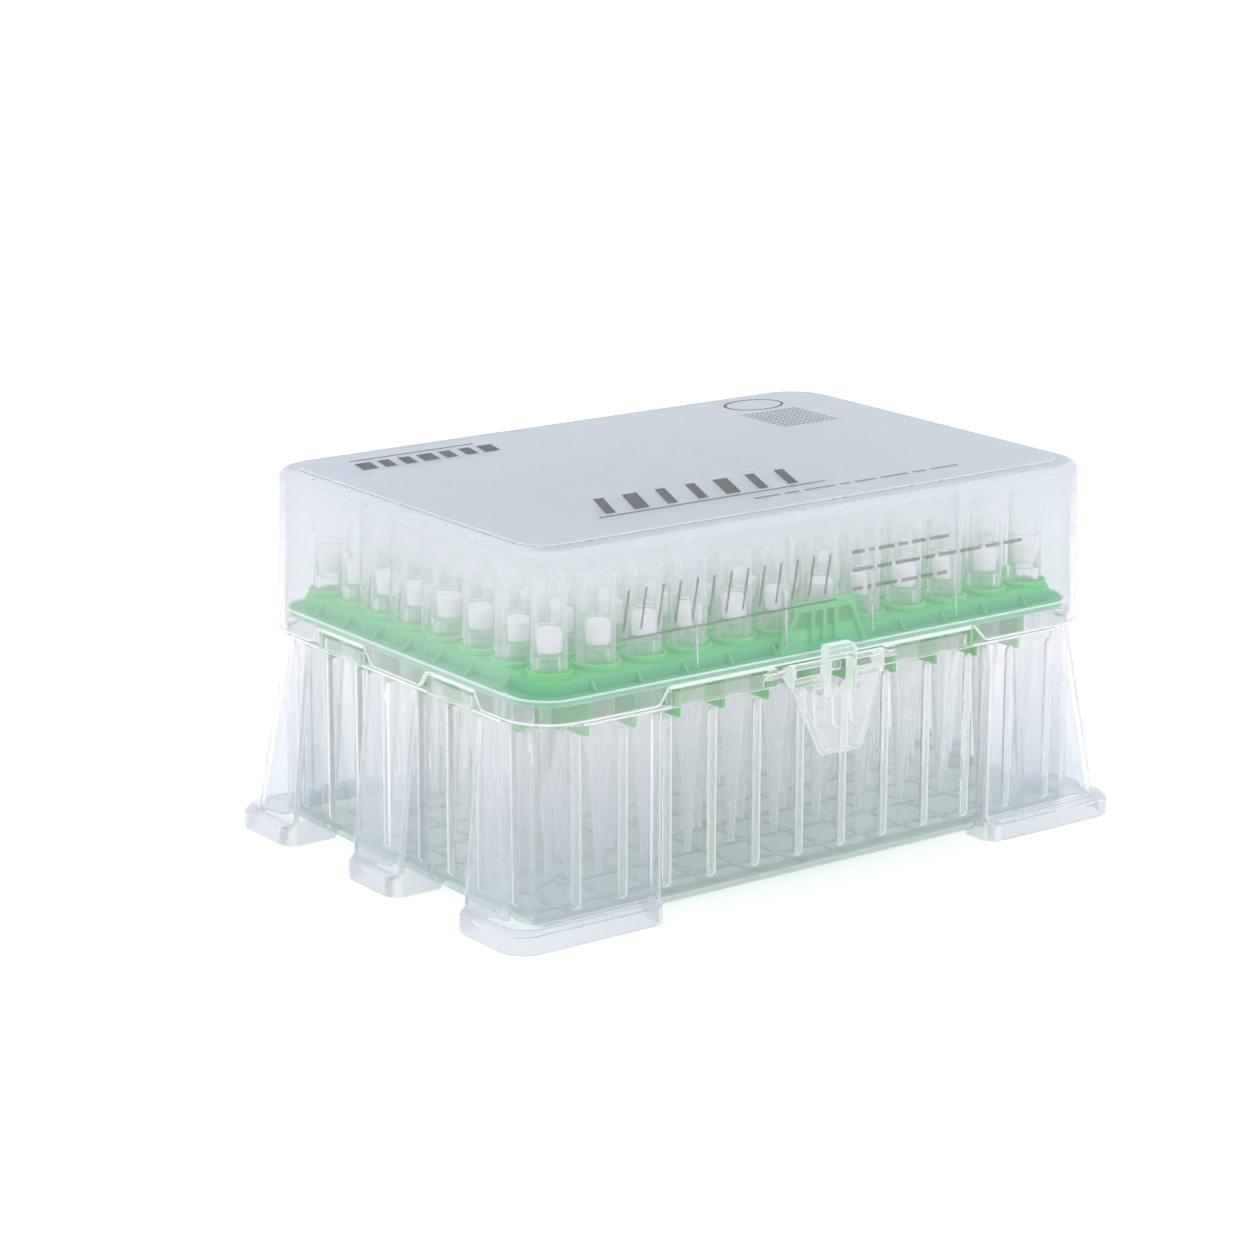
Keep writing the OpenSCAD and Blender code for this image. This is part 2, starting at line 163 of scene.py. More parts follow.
def inset(poly, d):
    """A polygon moved inwards by d."""
    if not d:
        return list(poly)
    n = len(poly)
    area = sum(poly[i][0] * poly[(i + 1) % n][1] - poly[(i + 1) % n][0] * poly[i][1] for i in range(n))
    s = 1.0 if area > 0 else -1.0
    out = []
    for i in range(n):
        a, b, c = (Vector(poly[(i + k) % n]) for k in (-1, 0, 1))
        u, v = (b - a).normalized(), (c - b).normalized()
        nu, nv = Vector((-u.y, u.x)) * s, Vector((-v.y, v.x)) * s
        k = 1.0 + nu.dot(nv)
        out.append(tuple(b + (nu + nv) * (d / max(k, 0.3))))
    return out


def rounded(poly, r, n=4):
    """A polygon with its corners rounded. r is one radius, or one for each corner."""
    out = []
    m = len(poly)
    for i in range(m):
        a, b, c = (Vector(poly[(i + k) % m]) for k in (-1, 0, 1))
        rad = r[i] if isinstance(r, (list, tuple)) else r
        if rad <= 0:
            out.append(tuple(b))
            continue
        u, v = (a - b), (c - b)
        half = u.angle(v) / 2
        t = min(rad / math.tan(half), u.length * 0.49, v.length * 0.49)
        p0, p1 = b + u.normalized() * t, b + v.normalized() * t
        for k in range(n + 1):
            s = k / n
            out.append(tuple(p0 * (1 - s) ** 2 + b * 2 * s * (1 - s) + p1 * s * s))
    return out


def rod(axis, a0, a1, u, v, r, n=32, c=0.0):
    poly = [(u + r * math.cos(2 * math.pi * k / n), v + r * math.sin(2 * math.pi * k / n)) for k in range(n)]
    return prism(poly, axis, a0, a1, c)


def lathe(profile, x, y, n=32, name="part", bulge=None):
    """Solid of revolution about a vertical axis. profile is a closed loop of (radius, z), or starts and ends on the axis."""
    open_ends = profile[0][0] == 0 and profile[-1][0] == 0
    verts, faces = [], []
    body = profile[1:-1] if open_ends else profile
    m = len(body)
    for i in range(n):
        a = 2 * math.pi * i / n
        for k, (r, z) in enumerate(body):
            rr = r + (bulge(a, k, r, z) if bulge else 0.0)
            verts.append((x + rr * math.cos(a), y + rr * math.sin(a), z))
    for i in range(n):
        i2 = (i + 1) % n
        for j in range(m if not open_ends else m - 1):
            j2 = (j + 1) % m
            faces.append((i * m + j, i2 * m + j, i2 * m + j2, i * m + j2))
    if open_ends:
        verts.append((x, y, profile[0][1]))
        verts.append((x, y, profile[-1][1]))
        for i in range(n):
            i2 = (i + 1) % n
            faces.append((n * m, i2 * m, i * m))
            faces.append((n * m + 1, i * m + m - 1, i2 * m + m - 1))
    return verts, faces


def joined(parts, name):
    """One mesh from several (verts, faces) lists that don't touch."""
    verts, faces = [], []
    for v, f in parts:
        k = len(verts)
        verts += v
        faces += [tuple(i + k for i in t) for t in f]
    return solid(verts, faces, name)


def combine(base, others, how):
    """Exact union, difference or intersection of closed solids."""
    if not isinstance(others, (list, tuple)):
        others = [others]
    col = bpy.data.collections.new("cut")
    for o in others:
        col.objects.link(o)
    m = base.modifiers.new("b", "BOOLEAN")
    m.operation = how
    m.operand_type = "COLLECTION"
    m.collection = col
    m.solver = "MANIFOLD"
    dg = bpy.context.evaluated_depsgraph_get()
    me = bpy.data.meshes.new_from_object(base.evaluated_get(dg))
    base.modifiers.clear()
    old = base.data
    base.data = me
    bpy.data.meshes.remove(old)
    bpy.data.collections.remove(col)
    for o in others:
        d = o.data
        bpy.data.objects.remove(o)
        if d.users == 0:
            bpy.data.meshes.remove(d)
    return base


def union(base, others):
    return combine(base, others, "UNION")


def cut(base, others):
    return combine(base, others, "DIFFERENCE")


def keep(base, other):
    return combine(base, other, "INTERSECT")


def finish(o, name, materials, bevel=0.0, angle=32, segments=2, dissolve=True, weighted=True):
    """Cleans flats, rounds the sharp edges, smooths the shading and brings the mesh to metres."""
    o.name = name
    me = o.data
    me.name = name
    me.materials.clear()
    bm = bmesh.new()
    bm.from_mesh(me)
    bmesh.ops.remove_doubles(bm, verts=bm.verts, dist=0.002)
    bmesh.ops.dissolve_degenerate(bm, dist=0.002, edges=bm.edges)
    if dissolve:
        bmesh.ops.dissolve_limit(bm, angle_limit=math.radians(0.7), verts=bm.verts, edges=bm.edges, use_dissolve_boundaries=False)
    bm.to_mesh(me)
    bm.free()
    if bevel:
        m = o.modifiers.new("edges", "BEVEL")
        m.width = bevel
        m.segments = segments
        m.limit_method = "ANGLE"
        m.angle_limit = math.radians(40)
        m.use_clamp_overlap = True
        m.harden_normals = False
        m.miter_outer = "MITER_ARC"
        dg = bpy.context.evaluated_depsgraph_get()
        new = bpy.data.meshes.new_from_object(o.evaluated_get(dg))
        o.modifiers.clear()
        o.data = new
        bpy.data.meshes.remove(me)
        me = new
        me.name = name
    me.transform(Matrix.Scale(MM, 4))
    me.polygons.foreach_set("use_smooth", [True] * len(me.polygons))
    me.set_sharp_from_angle(angle=math.radians(angle))
    if weighted:
        m = o.modifiers.new("normals", "WEIGHTED_NORMAL")
        m.mode = "FACE_AREA"
        m.weight = 50
        m.keep_sharp = True
    for mt in materials:
        me.materials.append(mt)
    me.update()
    return o


# ------------------------------------------------------------------
# Lid
# ------------------------------------------------------------------
def lid_wall_at(z, d=0.0):
    """Half length, half width and corner radius of the lid's outside at height z, moved in by d."""
    t = (z - LID_Z0) / (TOP_Z - 1.6 - LID_Z0)
    return LID_X - 0.47 * t - d, LID_Y - 0.7 * t - d, LID_R - 0.2 * t - d


def eased(pts, r, n=4):
    """An open path of (along, height) with its inner corners rounded."""
    out = [tuple(pts[0])]
    for i in range(1, len(pts) - 1):
        a, b, c = Vector(pts[i - 1]), Vector(pts[i]), Vector(pts[i + 1])
        t = min(r, (a - b).length * 0.45, (c - b).length * 0.45)
        p0, p1 = b + (a - b).normalized() * t, b + (c - b).normalized() * t
        for k in range(n + 1):
            s = k / n
            out.append(tuple(p0 * (1 - s) ** 2 + b * 2 * s * (1 - s) + p1 * s * s))
    out.append(tuple(pts[-1]))
    return out


def recess_path(r):
    return eased([(r[0] - 1.5, LID_Z0), (r[0], LID_Z0), (r[1], LID_Z1), (r[2], LID_Z1), (r[3], LID_Z0), (r[3] + 1.5, LID_Z0)], 0.7)


def lid_columns(n=18):
    cols = []

    def corner(q):
        for i in range(n + 1):
            cols.append(("c", q, math.radians(90 * q + 90 * i / n), LID_Z0))

    front = recess_path(FRONT_RECESS)
    sides = recess_path(SIDE_RECESS[0]) + recess_path(SIDE_RECESS[1])
    corner(0)
    cols.extend(("y", 1, t, z) for t, z in front[::-1])
    corner(1)
    cols.extend(("x", -1, t, z) for t, z in sides[::-1])
    corner(2)
    cols.extend(("y", -1, t, z) for t, z in front)
    corner(3)
    cols.extend(("x", 1, t, z) for t, z in sides)
    return cols


def lid_point(col, z, hx, hy, r):
    if col[0] == "c":
        q, a = col[1], col[2]
        cx = hx - r if q in (0, 3) else r - hx
        cy = hy - r if q < 2 else r - hy
        return (cx + r * math.cos(a), cy + r * math.sin(a), z)
    if col[0] == "y":
        return (col[2], col[1] * hy, z)
    return (col[1] * hx, col[2], z)


def lid_shell():
    cols = lid_columns()
    rows = []

    def fixed(z, hx, hy, r):
        rows.append([lid_point(c, z, hx, hy, r) for c in cols])

    # raised panel of the top, and its step
    for z, d in ((TOP_Z - 0.04, 0.3), (TOP_Z - 0.06, 0.16), (TOP_Z - 0.1, 0.06), (TOP_Z - 0.16, 0.0), (TOP_Z - 0.25, -0.02), (TOP_Z - 0.29, -0.1), (TOP_Z - 0.3, -0.25)):
        fixed(z, 55.2 - d, 35.8 - d, 5.0 - d)
    fixed(TOP_Z - 0.315, 55.68, 36.28, 5.48)
    # rounded upper edge
    for k in range(8, -1, -1):
        a = math.radians(90 * k / 8)
        d = 0.47 + 1.43 * (1 - math.cos(a))
        fixed(TOP_Z - 1.73 + 1.43 * math.sin(a), LID_X - d, LID_Y - d - 0.24, LID_R + 0.27 - d)
    for z in (56.0, 50.0, 44.5, 39.6):
        fixed(z, *lid_wall_at(z))
    # lower lip, which follows the recesses
    for d, dz in ((0.0, 0.5), (0.03, 0.26), (0.12, 0.1), (0.3, 0.0), (0.8, 0.0), (0.98, 0.1), (1.07, 0.26), (1.1, 0.5)):
        rows.append([lid_point(c, c[3] + dz, *lid_wall_at(c[3] + dz, d)) for c in cols])
    for z in (39.6, 44.5, 50.0, 56.0):
        fixed(z, *lid_wall_at(z, LID_WALL))
    for k in range(7):
        a = math.radians(90 * k / 6)
        d = 0.47 + LID_WALL + 0.85 * (1 - math.cos(a))
        fixed(TOP_Z - 2.05 + 0.85 * math.sin(a), LID_X - d, LID_Y - d - 0.23, LID_R + 0.25 - d)
    return grid(rows)


def lid_fin(at, side, axis):
    """Stiffening fin inside the lid. It thins out downwards to a point."""
    rows = []
    for z, depth, half in ((40.7, 0.35, 0.2), (41.5, 0.55, 0.24), (46.0, 1.05, 0.3), (52.0, 1.75, 0.36), (58.0, 2.45, 0.42), (61.2, 2.85, 0.46), (62.3, 3.0, 0.48)):
        hx, hy, _ = lid_wall_at(z, LID_WALL)
        w = hy if axis == "y" else hx
        o, i = side * (w + 0.5), side * (w - depth)
        mid = side * (w - depth * 0.25)
        pts = [(at - half * 1.15, o), (at + half * 1.15, o), (at + half * 1.15, mid), (at + half * 0.75, i + side * 0.12), (at + half * 0.35, i), (at - half * 0.35, i), (at - half * 0.75, i + side * 0.12), (at - half * 1.15, mid)]
        rows.append([(p, q, z) if axis == "y" else (q, p, z) for p, q in pts])
    return grid(rows)


def build_lid(materials):
    o = lid_shell()
    extra = []
    for x in (-27, -9, 9, 27):
        extra += [lid_fin(x, s, "y") for s in (-1, 1)]
    for y in (-9, 0, 9):
        extra += [lid_fin(y, s, "x") for s in (-1, 1)]
    # tongue and nib that the latch holds
    extra.append(prism(rounded([(-2, 35.8), (2, 35.8), (2, 39.5), (-2, 39.5)], 0.5), "y", -40.85, -40.0, 0.12))
    extra.append(prism(rounded([(-1.3, 37.9), (-0.3, 36.2), (0.3, 36.2), (1.3, 37.9)], 0.15), "y", -41.15, -40.5, 0.1))
    # hinge arms and pins
    for sx in (-1, 1):
        for a in (-3.7, 2.8):
            arm = rounded([(40.2, 42.0), (40.2, 38.4), (40.6, 38.2), (40.6, HINGE_Z), (43.55, HINGE_Z), (43.2, 37.8), (41.0, 42.0)], [0, 0.1, 0.1, 0, 0, 1.2, 0.4])
            extra.append(prism(arm, "x", sx * HINGE_X + a, sx * HINGE_X + a + 0.9, 0.1))
            extra.append(rod("x", sx * HINGE_X + a, sx * HINGE_X + a + 0.9, HINGE_Y, HINGE_Z, 1.5, 32, 0.1))
        extra.append(rod("x", sx * HINGE_X - 3.6, sx * HINGE_X + 3.6, HINGE_Y, HINGE_Z, 1.0, 28))
    union(o, extra)
    o = finish(o, "lid_shell", materials)
    # the raised panel of the top has its own fine texture; the lip's underside and the top of the panel's step get the
    # milky edge material as a painted highlight, and the rest of the step with the ring round it a dark blue-grey band
    # of painted shade
    for p in o.data.polygons:
        x, y, z = (abs(c) / MM for c in p.center)
        outside = x > 55.3 or y > 35.9
        if z < 39.2 and p.normal.z < -0.3:
            p.material_index = 2
        elif z > TOP_Z - 0.5 and not outside and p.normal.z > 0.0:
            step = p.normal.z < 0.93 and (x > 54.0 or y > 34.6)
            p.material_index = 1 if not step else (2 if z > TOP_Z - 0.13 else 3)
        elif z > TOP_Z - 1.95 and p.normal.z > 0.03:
            p.material_index = 3 if x < 55.62 and y < 36.22 else 4
    return o


# ------------------------------------------------------------------
# Base
# ------------------------------------------------------------------
def skirt_levels():
    lv = [(0.0, FOOT_X - 0.5, FOOT_Y - 0.5, FOOT_R - 0.5), (0.1, FOOT_X - 0.22, FOOT_Y - 0.22, FOOT_R - 0.22),
          (0.27, FOOT_X - 0.07, FOOT_Y - 0.07, FOOT_R - 0.07), (0.5, FOOT_X, FOOT_Y, FOOT_R), (BAND - 0.15, FOOT_X, FOOT_Y, FOOT_R)]
    for k in range(1, 7):
        a = math.radians(90 * k / 6)
        d = 1.15 * (1 - math.cos(a))
        lv.append((BAND - 0.15 + 0.95 * math.sin(a), FOOT_X - d, FOOT_Y - d, FOOT_R - 0.5 * d))
    # hollow that leads from the band into the flared wall
    x0, y0, r0 = FOOT_X - 1.15, FOOT_Y - 1.15, FOOT_R - 0.57
    for s, z in ((0.45, 3.7), (0.75, 3.95), (0.93, 4.3), (1.0, 4.7)):
        lv.append((z, x0 + (61.9 - x0) * s, y0 + (40.8 - y0) * s, r0 + (5 - r0) * s))
    # the flared wall, whose corners widen upwards
    for z in (10.0, 15.0, 20.0, 25.0, 30.0, LEDGE_Z - 0.28):
        t = (z - 4.7) / (LEDGE_Z - 4.7)
        lv.append((z, 61.9 - 3.1 * t, 40.8 - 0.1 * t, 5 + 8.3 * t - 1.4 * t * t))
    lv.append((LEDGE_Z - 0.14, RAIL_X - 0.015, RAIL_Y - 0.015, 11.9))
    lv += [(LEDGE_Z - 0.05, RAIL_X - 0.07, RAIL_Y - 0.07, 11.83), (LEDGE_Z, RAIL_X - 0.22, RAIL_Y - 0.22, 11.68)]
    return lv


def skirt_inner():
    lv = [(-1.0, FOOT_X - 1.1, FOOT_Y - 1.1, FOOT_R - 1.1), (BAND - 0.6, FOOT_X - 1.1, FOOT_Y - 1.1, FOOT_R - 1.1),
          (BAND - 0.25, FOOT_X - 1.2, FOOT_Y - 1.2, FOOT_R - 1.2), (BAND, FOOT_X - 1.5, FOOT_Y - 1.5, FOOT_R - 1.35),
          (BAND + 0.3, 61.4, 40.3, 4.2), (BAND + 0.9, 61.0, 39.9, 4.0)]
    for z in (10.0, 15.0, 20.0, 25.0, 30.0, LEDGE_Z - 0.5):
        t = (z - 4.7) / (LEDGE_Z - 4.7)
        lv.append((z, 60.9 - 3.1 * t, 39.8 - 0.1 * t, 4 + 8.3 * t - 1.4 * t * t))
    lv.append((LEDGE_Z - 0.28, RAIL_X - 1.3, RAIL_Y - 1.3, 10.6))
    return lv


def skirt_at(z):
    """Half length and half width of the feet's outside at height z."""
    lv = skirt_levels()
    if z <= lv[0][0]:
        return lv[0][1], lv[0][2]
    for a, b in zip(lv, lv[1:]):
        if z <= b[0]:
            t = (z - a[0]) / (b[0] - a[0])
            return a[1] + (b[1] - a[1]) * t, a[2] + (b[2] - a[2]) * t
    return lv[-1][1], lv[-1][2]


def end_wall(x0, x1, y0, y1):
    return box(min(x0, x1), max(x0, x1), min(y0, y1), max(y0, y1), -2, 37)


def corner_cutter(edge, way, side, axis):
    """Rounds the upright edge of a foot beside an opening. edge is the plane of the foot's end wall, way points into the opening."""
    rows = []
    for z, r in ((-1.0, 2.7), (0.1, 2.7), (0.5, 2.7), (2.65, 2.7), (3.1, 2.5), (3.5, 2.1), (3.8, 1.6), (4.2, 1.1), (4.7, 0.85), (20.0, 0.8), (33.8, 0.8), (34.7, 0.8)):
        out = skirt_at(z)[1 if axis == "y" else 0] + 0.004
        pts = [(edge + way * 0.6, out + 0.6), (edge + way * 0.6, out - r)]
        for k in range(9):
            a = math.radians(90 * k / 8)
            pts.append((edge - way * r * (1 - math.cos(a)) + way * 0.004, out - r + r * math.sin(a)))
        pts.append((edge - way * r, out + 0.6))
        rows.append([(p, side * q, z) if axis == "y" else (side * q, p, z) for p, q in pts])
    return grid(rows)


def build_feet():
    outer = stack(skirt_levels(), n=16)
    inner = stack(skirt_inner(), n=16)
    walls = []
    for s in (-1, 1):
        walls.append(end_wall(FRONT_GAP[0] - 1, FRONT_GAP[0] + 2, s * 36.2, s * 46))
        walls.append(end_wall(FRONT_GAP[1] - 2, FRONT_GAP[1] + 1, s * 36.2, s * 46))
        for g in SIDE_GAPS:
            walls.append(end_wall(s * 54.1, s * 66, g[0] - 1, g[0] + 2))
            walls.append(end_wall(s * 54.1, s * 66, g[1] - 2, g[1] + 1))
    cut(inner, walls)
    cut(outer, inner)
    z1 = LEDGE_Z - 0.35
    gaps = [prism(rounded([(FRONT_GAP[0], -1), (FRONT_GAP[1], -1), (FRONT_GAP[1], z1), (FRONT_GAP[0], z1)], [0, 0, 1.2, 1.2]), "y", -50, 50)]
    for g in SIDE_GAPS:
        gaps.append(prism(rounded([(g[0], -1), (g[1], -1), (g[1], z1), (g[0], z1)], [0, 0, 1.2, 1.2]), "x", -70, 70))
    for s in (-1, 1):
        gaps.append(corner_cutter(FRONT_GAP[0], 1, s, "y"))
        gaps.append(corner_cutter(FRONT_GAP[1], -1, s, "y"))
        for g in SIDE_GAPS:
            gaps.append(corner_cutter(g[0], 1, s, "x"))
            gaps.append(corner_cutter(g[1], -1, s, "x"))
    # the ledge leaves room for the latch, and is open below the rails
    gaps.append(box(-10.9, 10.9, -50, -RIM_Y, 30, 37))
    for t0, t1 in FRONT_RAILS:
        gaps.append(box(t0 + 0.9, t1 - 0.9, -RAIL_Y + 0.9, -RIM_Y, 30, 37))
    for t0, t1 in BACK_RAILS:
        if t1 - t0 > 4:
            gaps.append(box(t0 + 0.9, t1 - 0.9, RIM_Y, RAIL_Y - 0.9, 30, 37))
    for s in (-1, 1):
        for t0, t1 in SIDE_RAILS:
            gaps.append(box(min(s * RIM_X, s * (RAIL_X - 0.9)), max(s * RIM_X, s * (RAIL_X - 0.9)), t0 + 0.9, t1 - 0.9, 30, 37))
    for g in gaps:
        cut(outer, g)
    return outer


def flute(x, y, r=1.15):
    """Half-round rib with a rounded lower end."""
    prof = [(0, 4.3)]
    for k in range(1, 7):
        a = math.radians(90 * k / 6)
        prof.append((r * math.sin(a), 4.3 + 1.0 * (1 - math.cos(a))))
    prof += [(r, 32.3), (r * 0.93, 32.7), (r * 0.7, 33.05), (r * 0.35, 33.25), (0, 33.3)]
    return lathe(prof, x, y, 28)


def rail(place, t0, t1, near, far):
    """Rail below a recess of the lid's edge. place turns (along, out, z) into a point."""
    out = []
    low = SEAT_Z - 0.9 if t1 - t0 > 4 else RAIL_Z0
    for a0, a1, d0, d1, z0, z1 in ((t0, t1, near - 0.3, far, low, SEAT_Z), (t0, t1, far - 0.9, far, RAIL_Z0, SEAT_Z),
                                   (t0, t0 + 0.9, near - 0.3, far, RAIL_Z0, SEAT_Z), (t1 - 0.9, t1, near - 0.3, far, RAIL_Z0, SEAT_Z)):
        v = [place(a, d, z) for z in (z0, z1) for d in (d0, d1) for a in (a0, a1)]
        f = [(0, 2, 3, 1), (4, 5, 7, 6), (0, 1, 5, 4), (2, 6, 7, 3), (0, 4, 6, 2), (1, 3, 7, 5)]
        out.append(solid(v, f))
    return out


def filleted(z0, rf, hx, hy, r, top, n=8):
    """Block whose lower edge is rounded by rf."""
    lv = []
    for k in range(n + 1):
        a = math.radians(90 * k / n)
        d = rf * (1 - math.sin(a))
        lv.append((z0 + rf * (1 - math.cos(a)), hx - d, hy - d, max(r - d, 0.4 + 0.15 * k)))
    lv.append((top, hx, hy, r))
    return stack(lv)


def build_base(materials):
    o = filleted(BOX_Z0, BOX_FILLET, BOX_X, BOX_Y, 3.0, 35.0)
    add = [slab(RIM_X, RIM_Y, 6.6, 34.85, RIM_Z, c1=0.15, n=18), build_feet()]
    add.append(joined([flute(tip_x(i), s * (BOX_Y - 0.65)) for i in range(COLS) for s in (-1, 1)], "flutes_a"))
    add.append(joined([flute(s * (BOX_X - 0.65), tip_y(j)) for j in range(ROWS) for s in (-1, 1)], "flutes_b"))
    for i in range(-5, 6):
        add.append(prism([(i * PITCH - 0.45, 0.7), (i * PITCH - 0.3, 0.1), (i * PITCH + 0.3, 0.1), (i * PITCH + 0.45, 0.7)], "y", -34.3, 34.3))
    for j in range(-3, 4):
        add.append(prism([(j * PITCH - 0.45, 0.7), (j * PITCH - 0.3, 0.1), (j * PITCH + 0.3, 0.1), (j * PITCH + 0.45, 0.7)], "x", -52.2, 52.2))
    for a in add:
        union(o, a)
    room = filleted(BOX_Z0 + 1, BOX_FILLET - 1, BOX_X - 1, BOX_Y - 1, 2.0, RIM_Z + 1)
    seat = stack([(SEAT_Z, RIM_X - 0.8, RIM_Y - 0.8, 5.8), (RIM_Z - 0.15, RIM_X - 0.8, RIM_Y - 0.8, 5.8), (RIM_Z, RIM_X - 0.66, RIM_Y - 0.66, 5.94), (RIM_Z + 1, RIM_X - 0.66, RIM_Y - 0.66, 5.94)], n=18)
    cut(o, room)
    cut(o, seat)
    more = []
    for t0, t1 in FRONT_RAILS:
        more += rail(lambda a, d, z: (a, -d, z), t0, t1, RIM_Y, RAIL_Y)
    for t0, t1 in BACK_RAILS:
        more += rail(lambda a, d, z: (a, d, z), t0, t1, RIM_Y, RAIL_Y)
    for s in (-1, 1):
        for t0, t1 in SIDE_RAILS:
            more += rail(lambda a, d, z, s=s: (s * d, a, z), t0, t1, RIM_X, RAIL_X)
        # bearing blocks of the latch
        blk = rounded([(-RIM_Y + 0.3, RAIL_Z0), (-41.1, RAIL_Z0), (-41.1, SEAT_Z), (-RIM_Y + 0.3, SEAT_Z)], [0, 0.4, 0.4, 0])
        more.append(prism(blk, "x", min(s * 11.4, s * 13.4), max(s * 11.4, s * 13.4), 0.1))
        # hinge clips
        more.append(rod("x", s * HINGE_X - 2.5, s * HINGE_X + 2.5, HINGE_Y, HINGE_Z, 1.7, 40, 0.12))
        more.append(box(s * HINGE_X - 2.5, s * HINGE_X + 2.5, RIM_Y - 0.3, HINGE_Y - 1.0, RAIL_Z0, HINGE_Z + 0.5))
    union(o, more)
    holes = []
    for s in (-1, 1):
        holes.append(rod("x", s * 12 - 2, s * 12 + 2, -LATCH_Y, LATCH_Z, 0.6, 24))
        holes.append(rod("x", s * HINGE_X - 3, s * HINGE_X + 3, HINGE_Y, HINGE_Z, 1.05, 28))
        holes.append(box(s * HINGE_X - 3, s * HINGE_X + 3, HINGE_Y - 0.75, HINGE_Y + 0.75, HINGE_Z, HINGE_Z + 2))
    for h in holes:
        cut(o, h)
    o = finish(o, "base_shell", materials)
    # the flutes are thick; the floor plate is tinted darker than the walls, a painted shadow of the shade under the
    # box; the feet's outside get their own material; and the rim, the ledge's edge and the feet's ends beside the
    # openings get the milky edge material as a painted highlight
    for p in o.data.polygons:
        x, y, z = (c / MM for c in p.center)
        turned = min(abs(p.normal.x), abs(p.normal.y)) > 0.12 and abs(p.normal.z) < 0.5
        by_gap = (abs(y) > 38.8 and min(abs(x - e) for e in FRONT_GAP) < 2.9) or (abs(x) > 58.0 and min(abs(y - e) for g in SIDE_GAPS for e in g) < 2.9)
        if z < 4.25 and abs(x) < BOX_X + 0.05 and abs(y) < BOX_Y + 0.05:
            p.material_index = 2
        elif z < 34.75 and (abs(x) > BOX_X + 0.75 or abs(y) > BOX_Y + 0.75) and not (turned and by_gap):
            p.material_index = 4
        elif z > RIM_Z - 0.3 or (LEDGE_Z - 0.3 < z < LEDGE_Z - 0.005 and (abs(x) > RAIL_X - 0.3 or abs(y) > RAIL_Y - 0.3)):
            p.material_index = 3
        elif turned and by_gap:
            p.material_index = 3
        elif abs(z - SEAT_Z) < 0.06 and (abs(x) > RIM_X + 0.2 or abs(y) > RIM_Y + 0.2):
            p.material_index = 3
        elif 4.2 < z < 34.7:
            near_x = abs(abs(y) - BOX_Y - 0.26) < 0.25 and min(abs(x - tip_x(i)) for i in range(COLS)) < 1.2
            near_y = abs(abs(x) - BOX_X - 0.26) < 0.25 and min(abs(y - tip_y(j)) for j in range(ROWS)) < 1.2
            if near_x or near_y:
                p.material_index = 1
    return o


# ------------------------------------------------------------------
# Deck
# ------------------------------------------------------------------
def socket(x, y):
    """Raised lip with a shallow seat round one tip."""
    return lathe([(2.62, 39.9), (3.5, 39.9), (3.82, 41.05), (3.82, 41.95), (3.76, 42.14), (3.62, 42.27), (3.44, 42.3), (3.28, 42.24), (3.17, 42.1),
                  (3.12, 41.9), (3.1, 41.55), (3.02, 41.45), (2.62, 41.45)], x, y, 40)


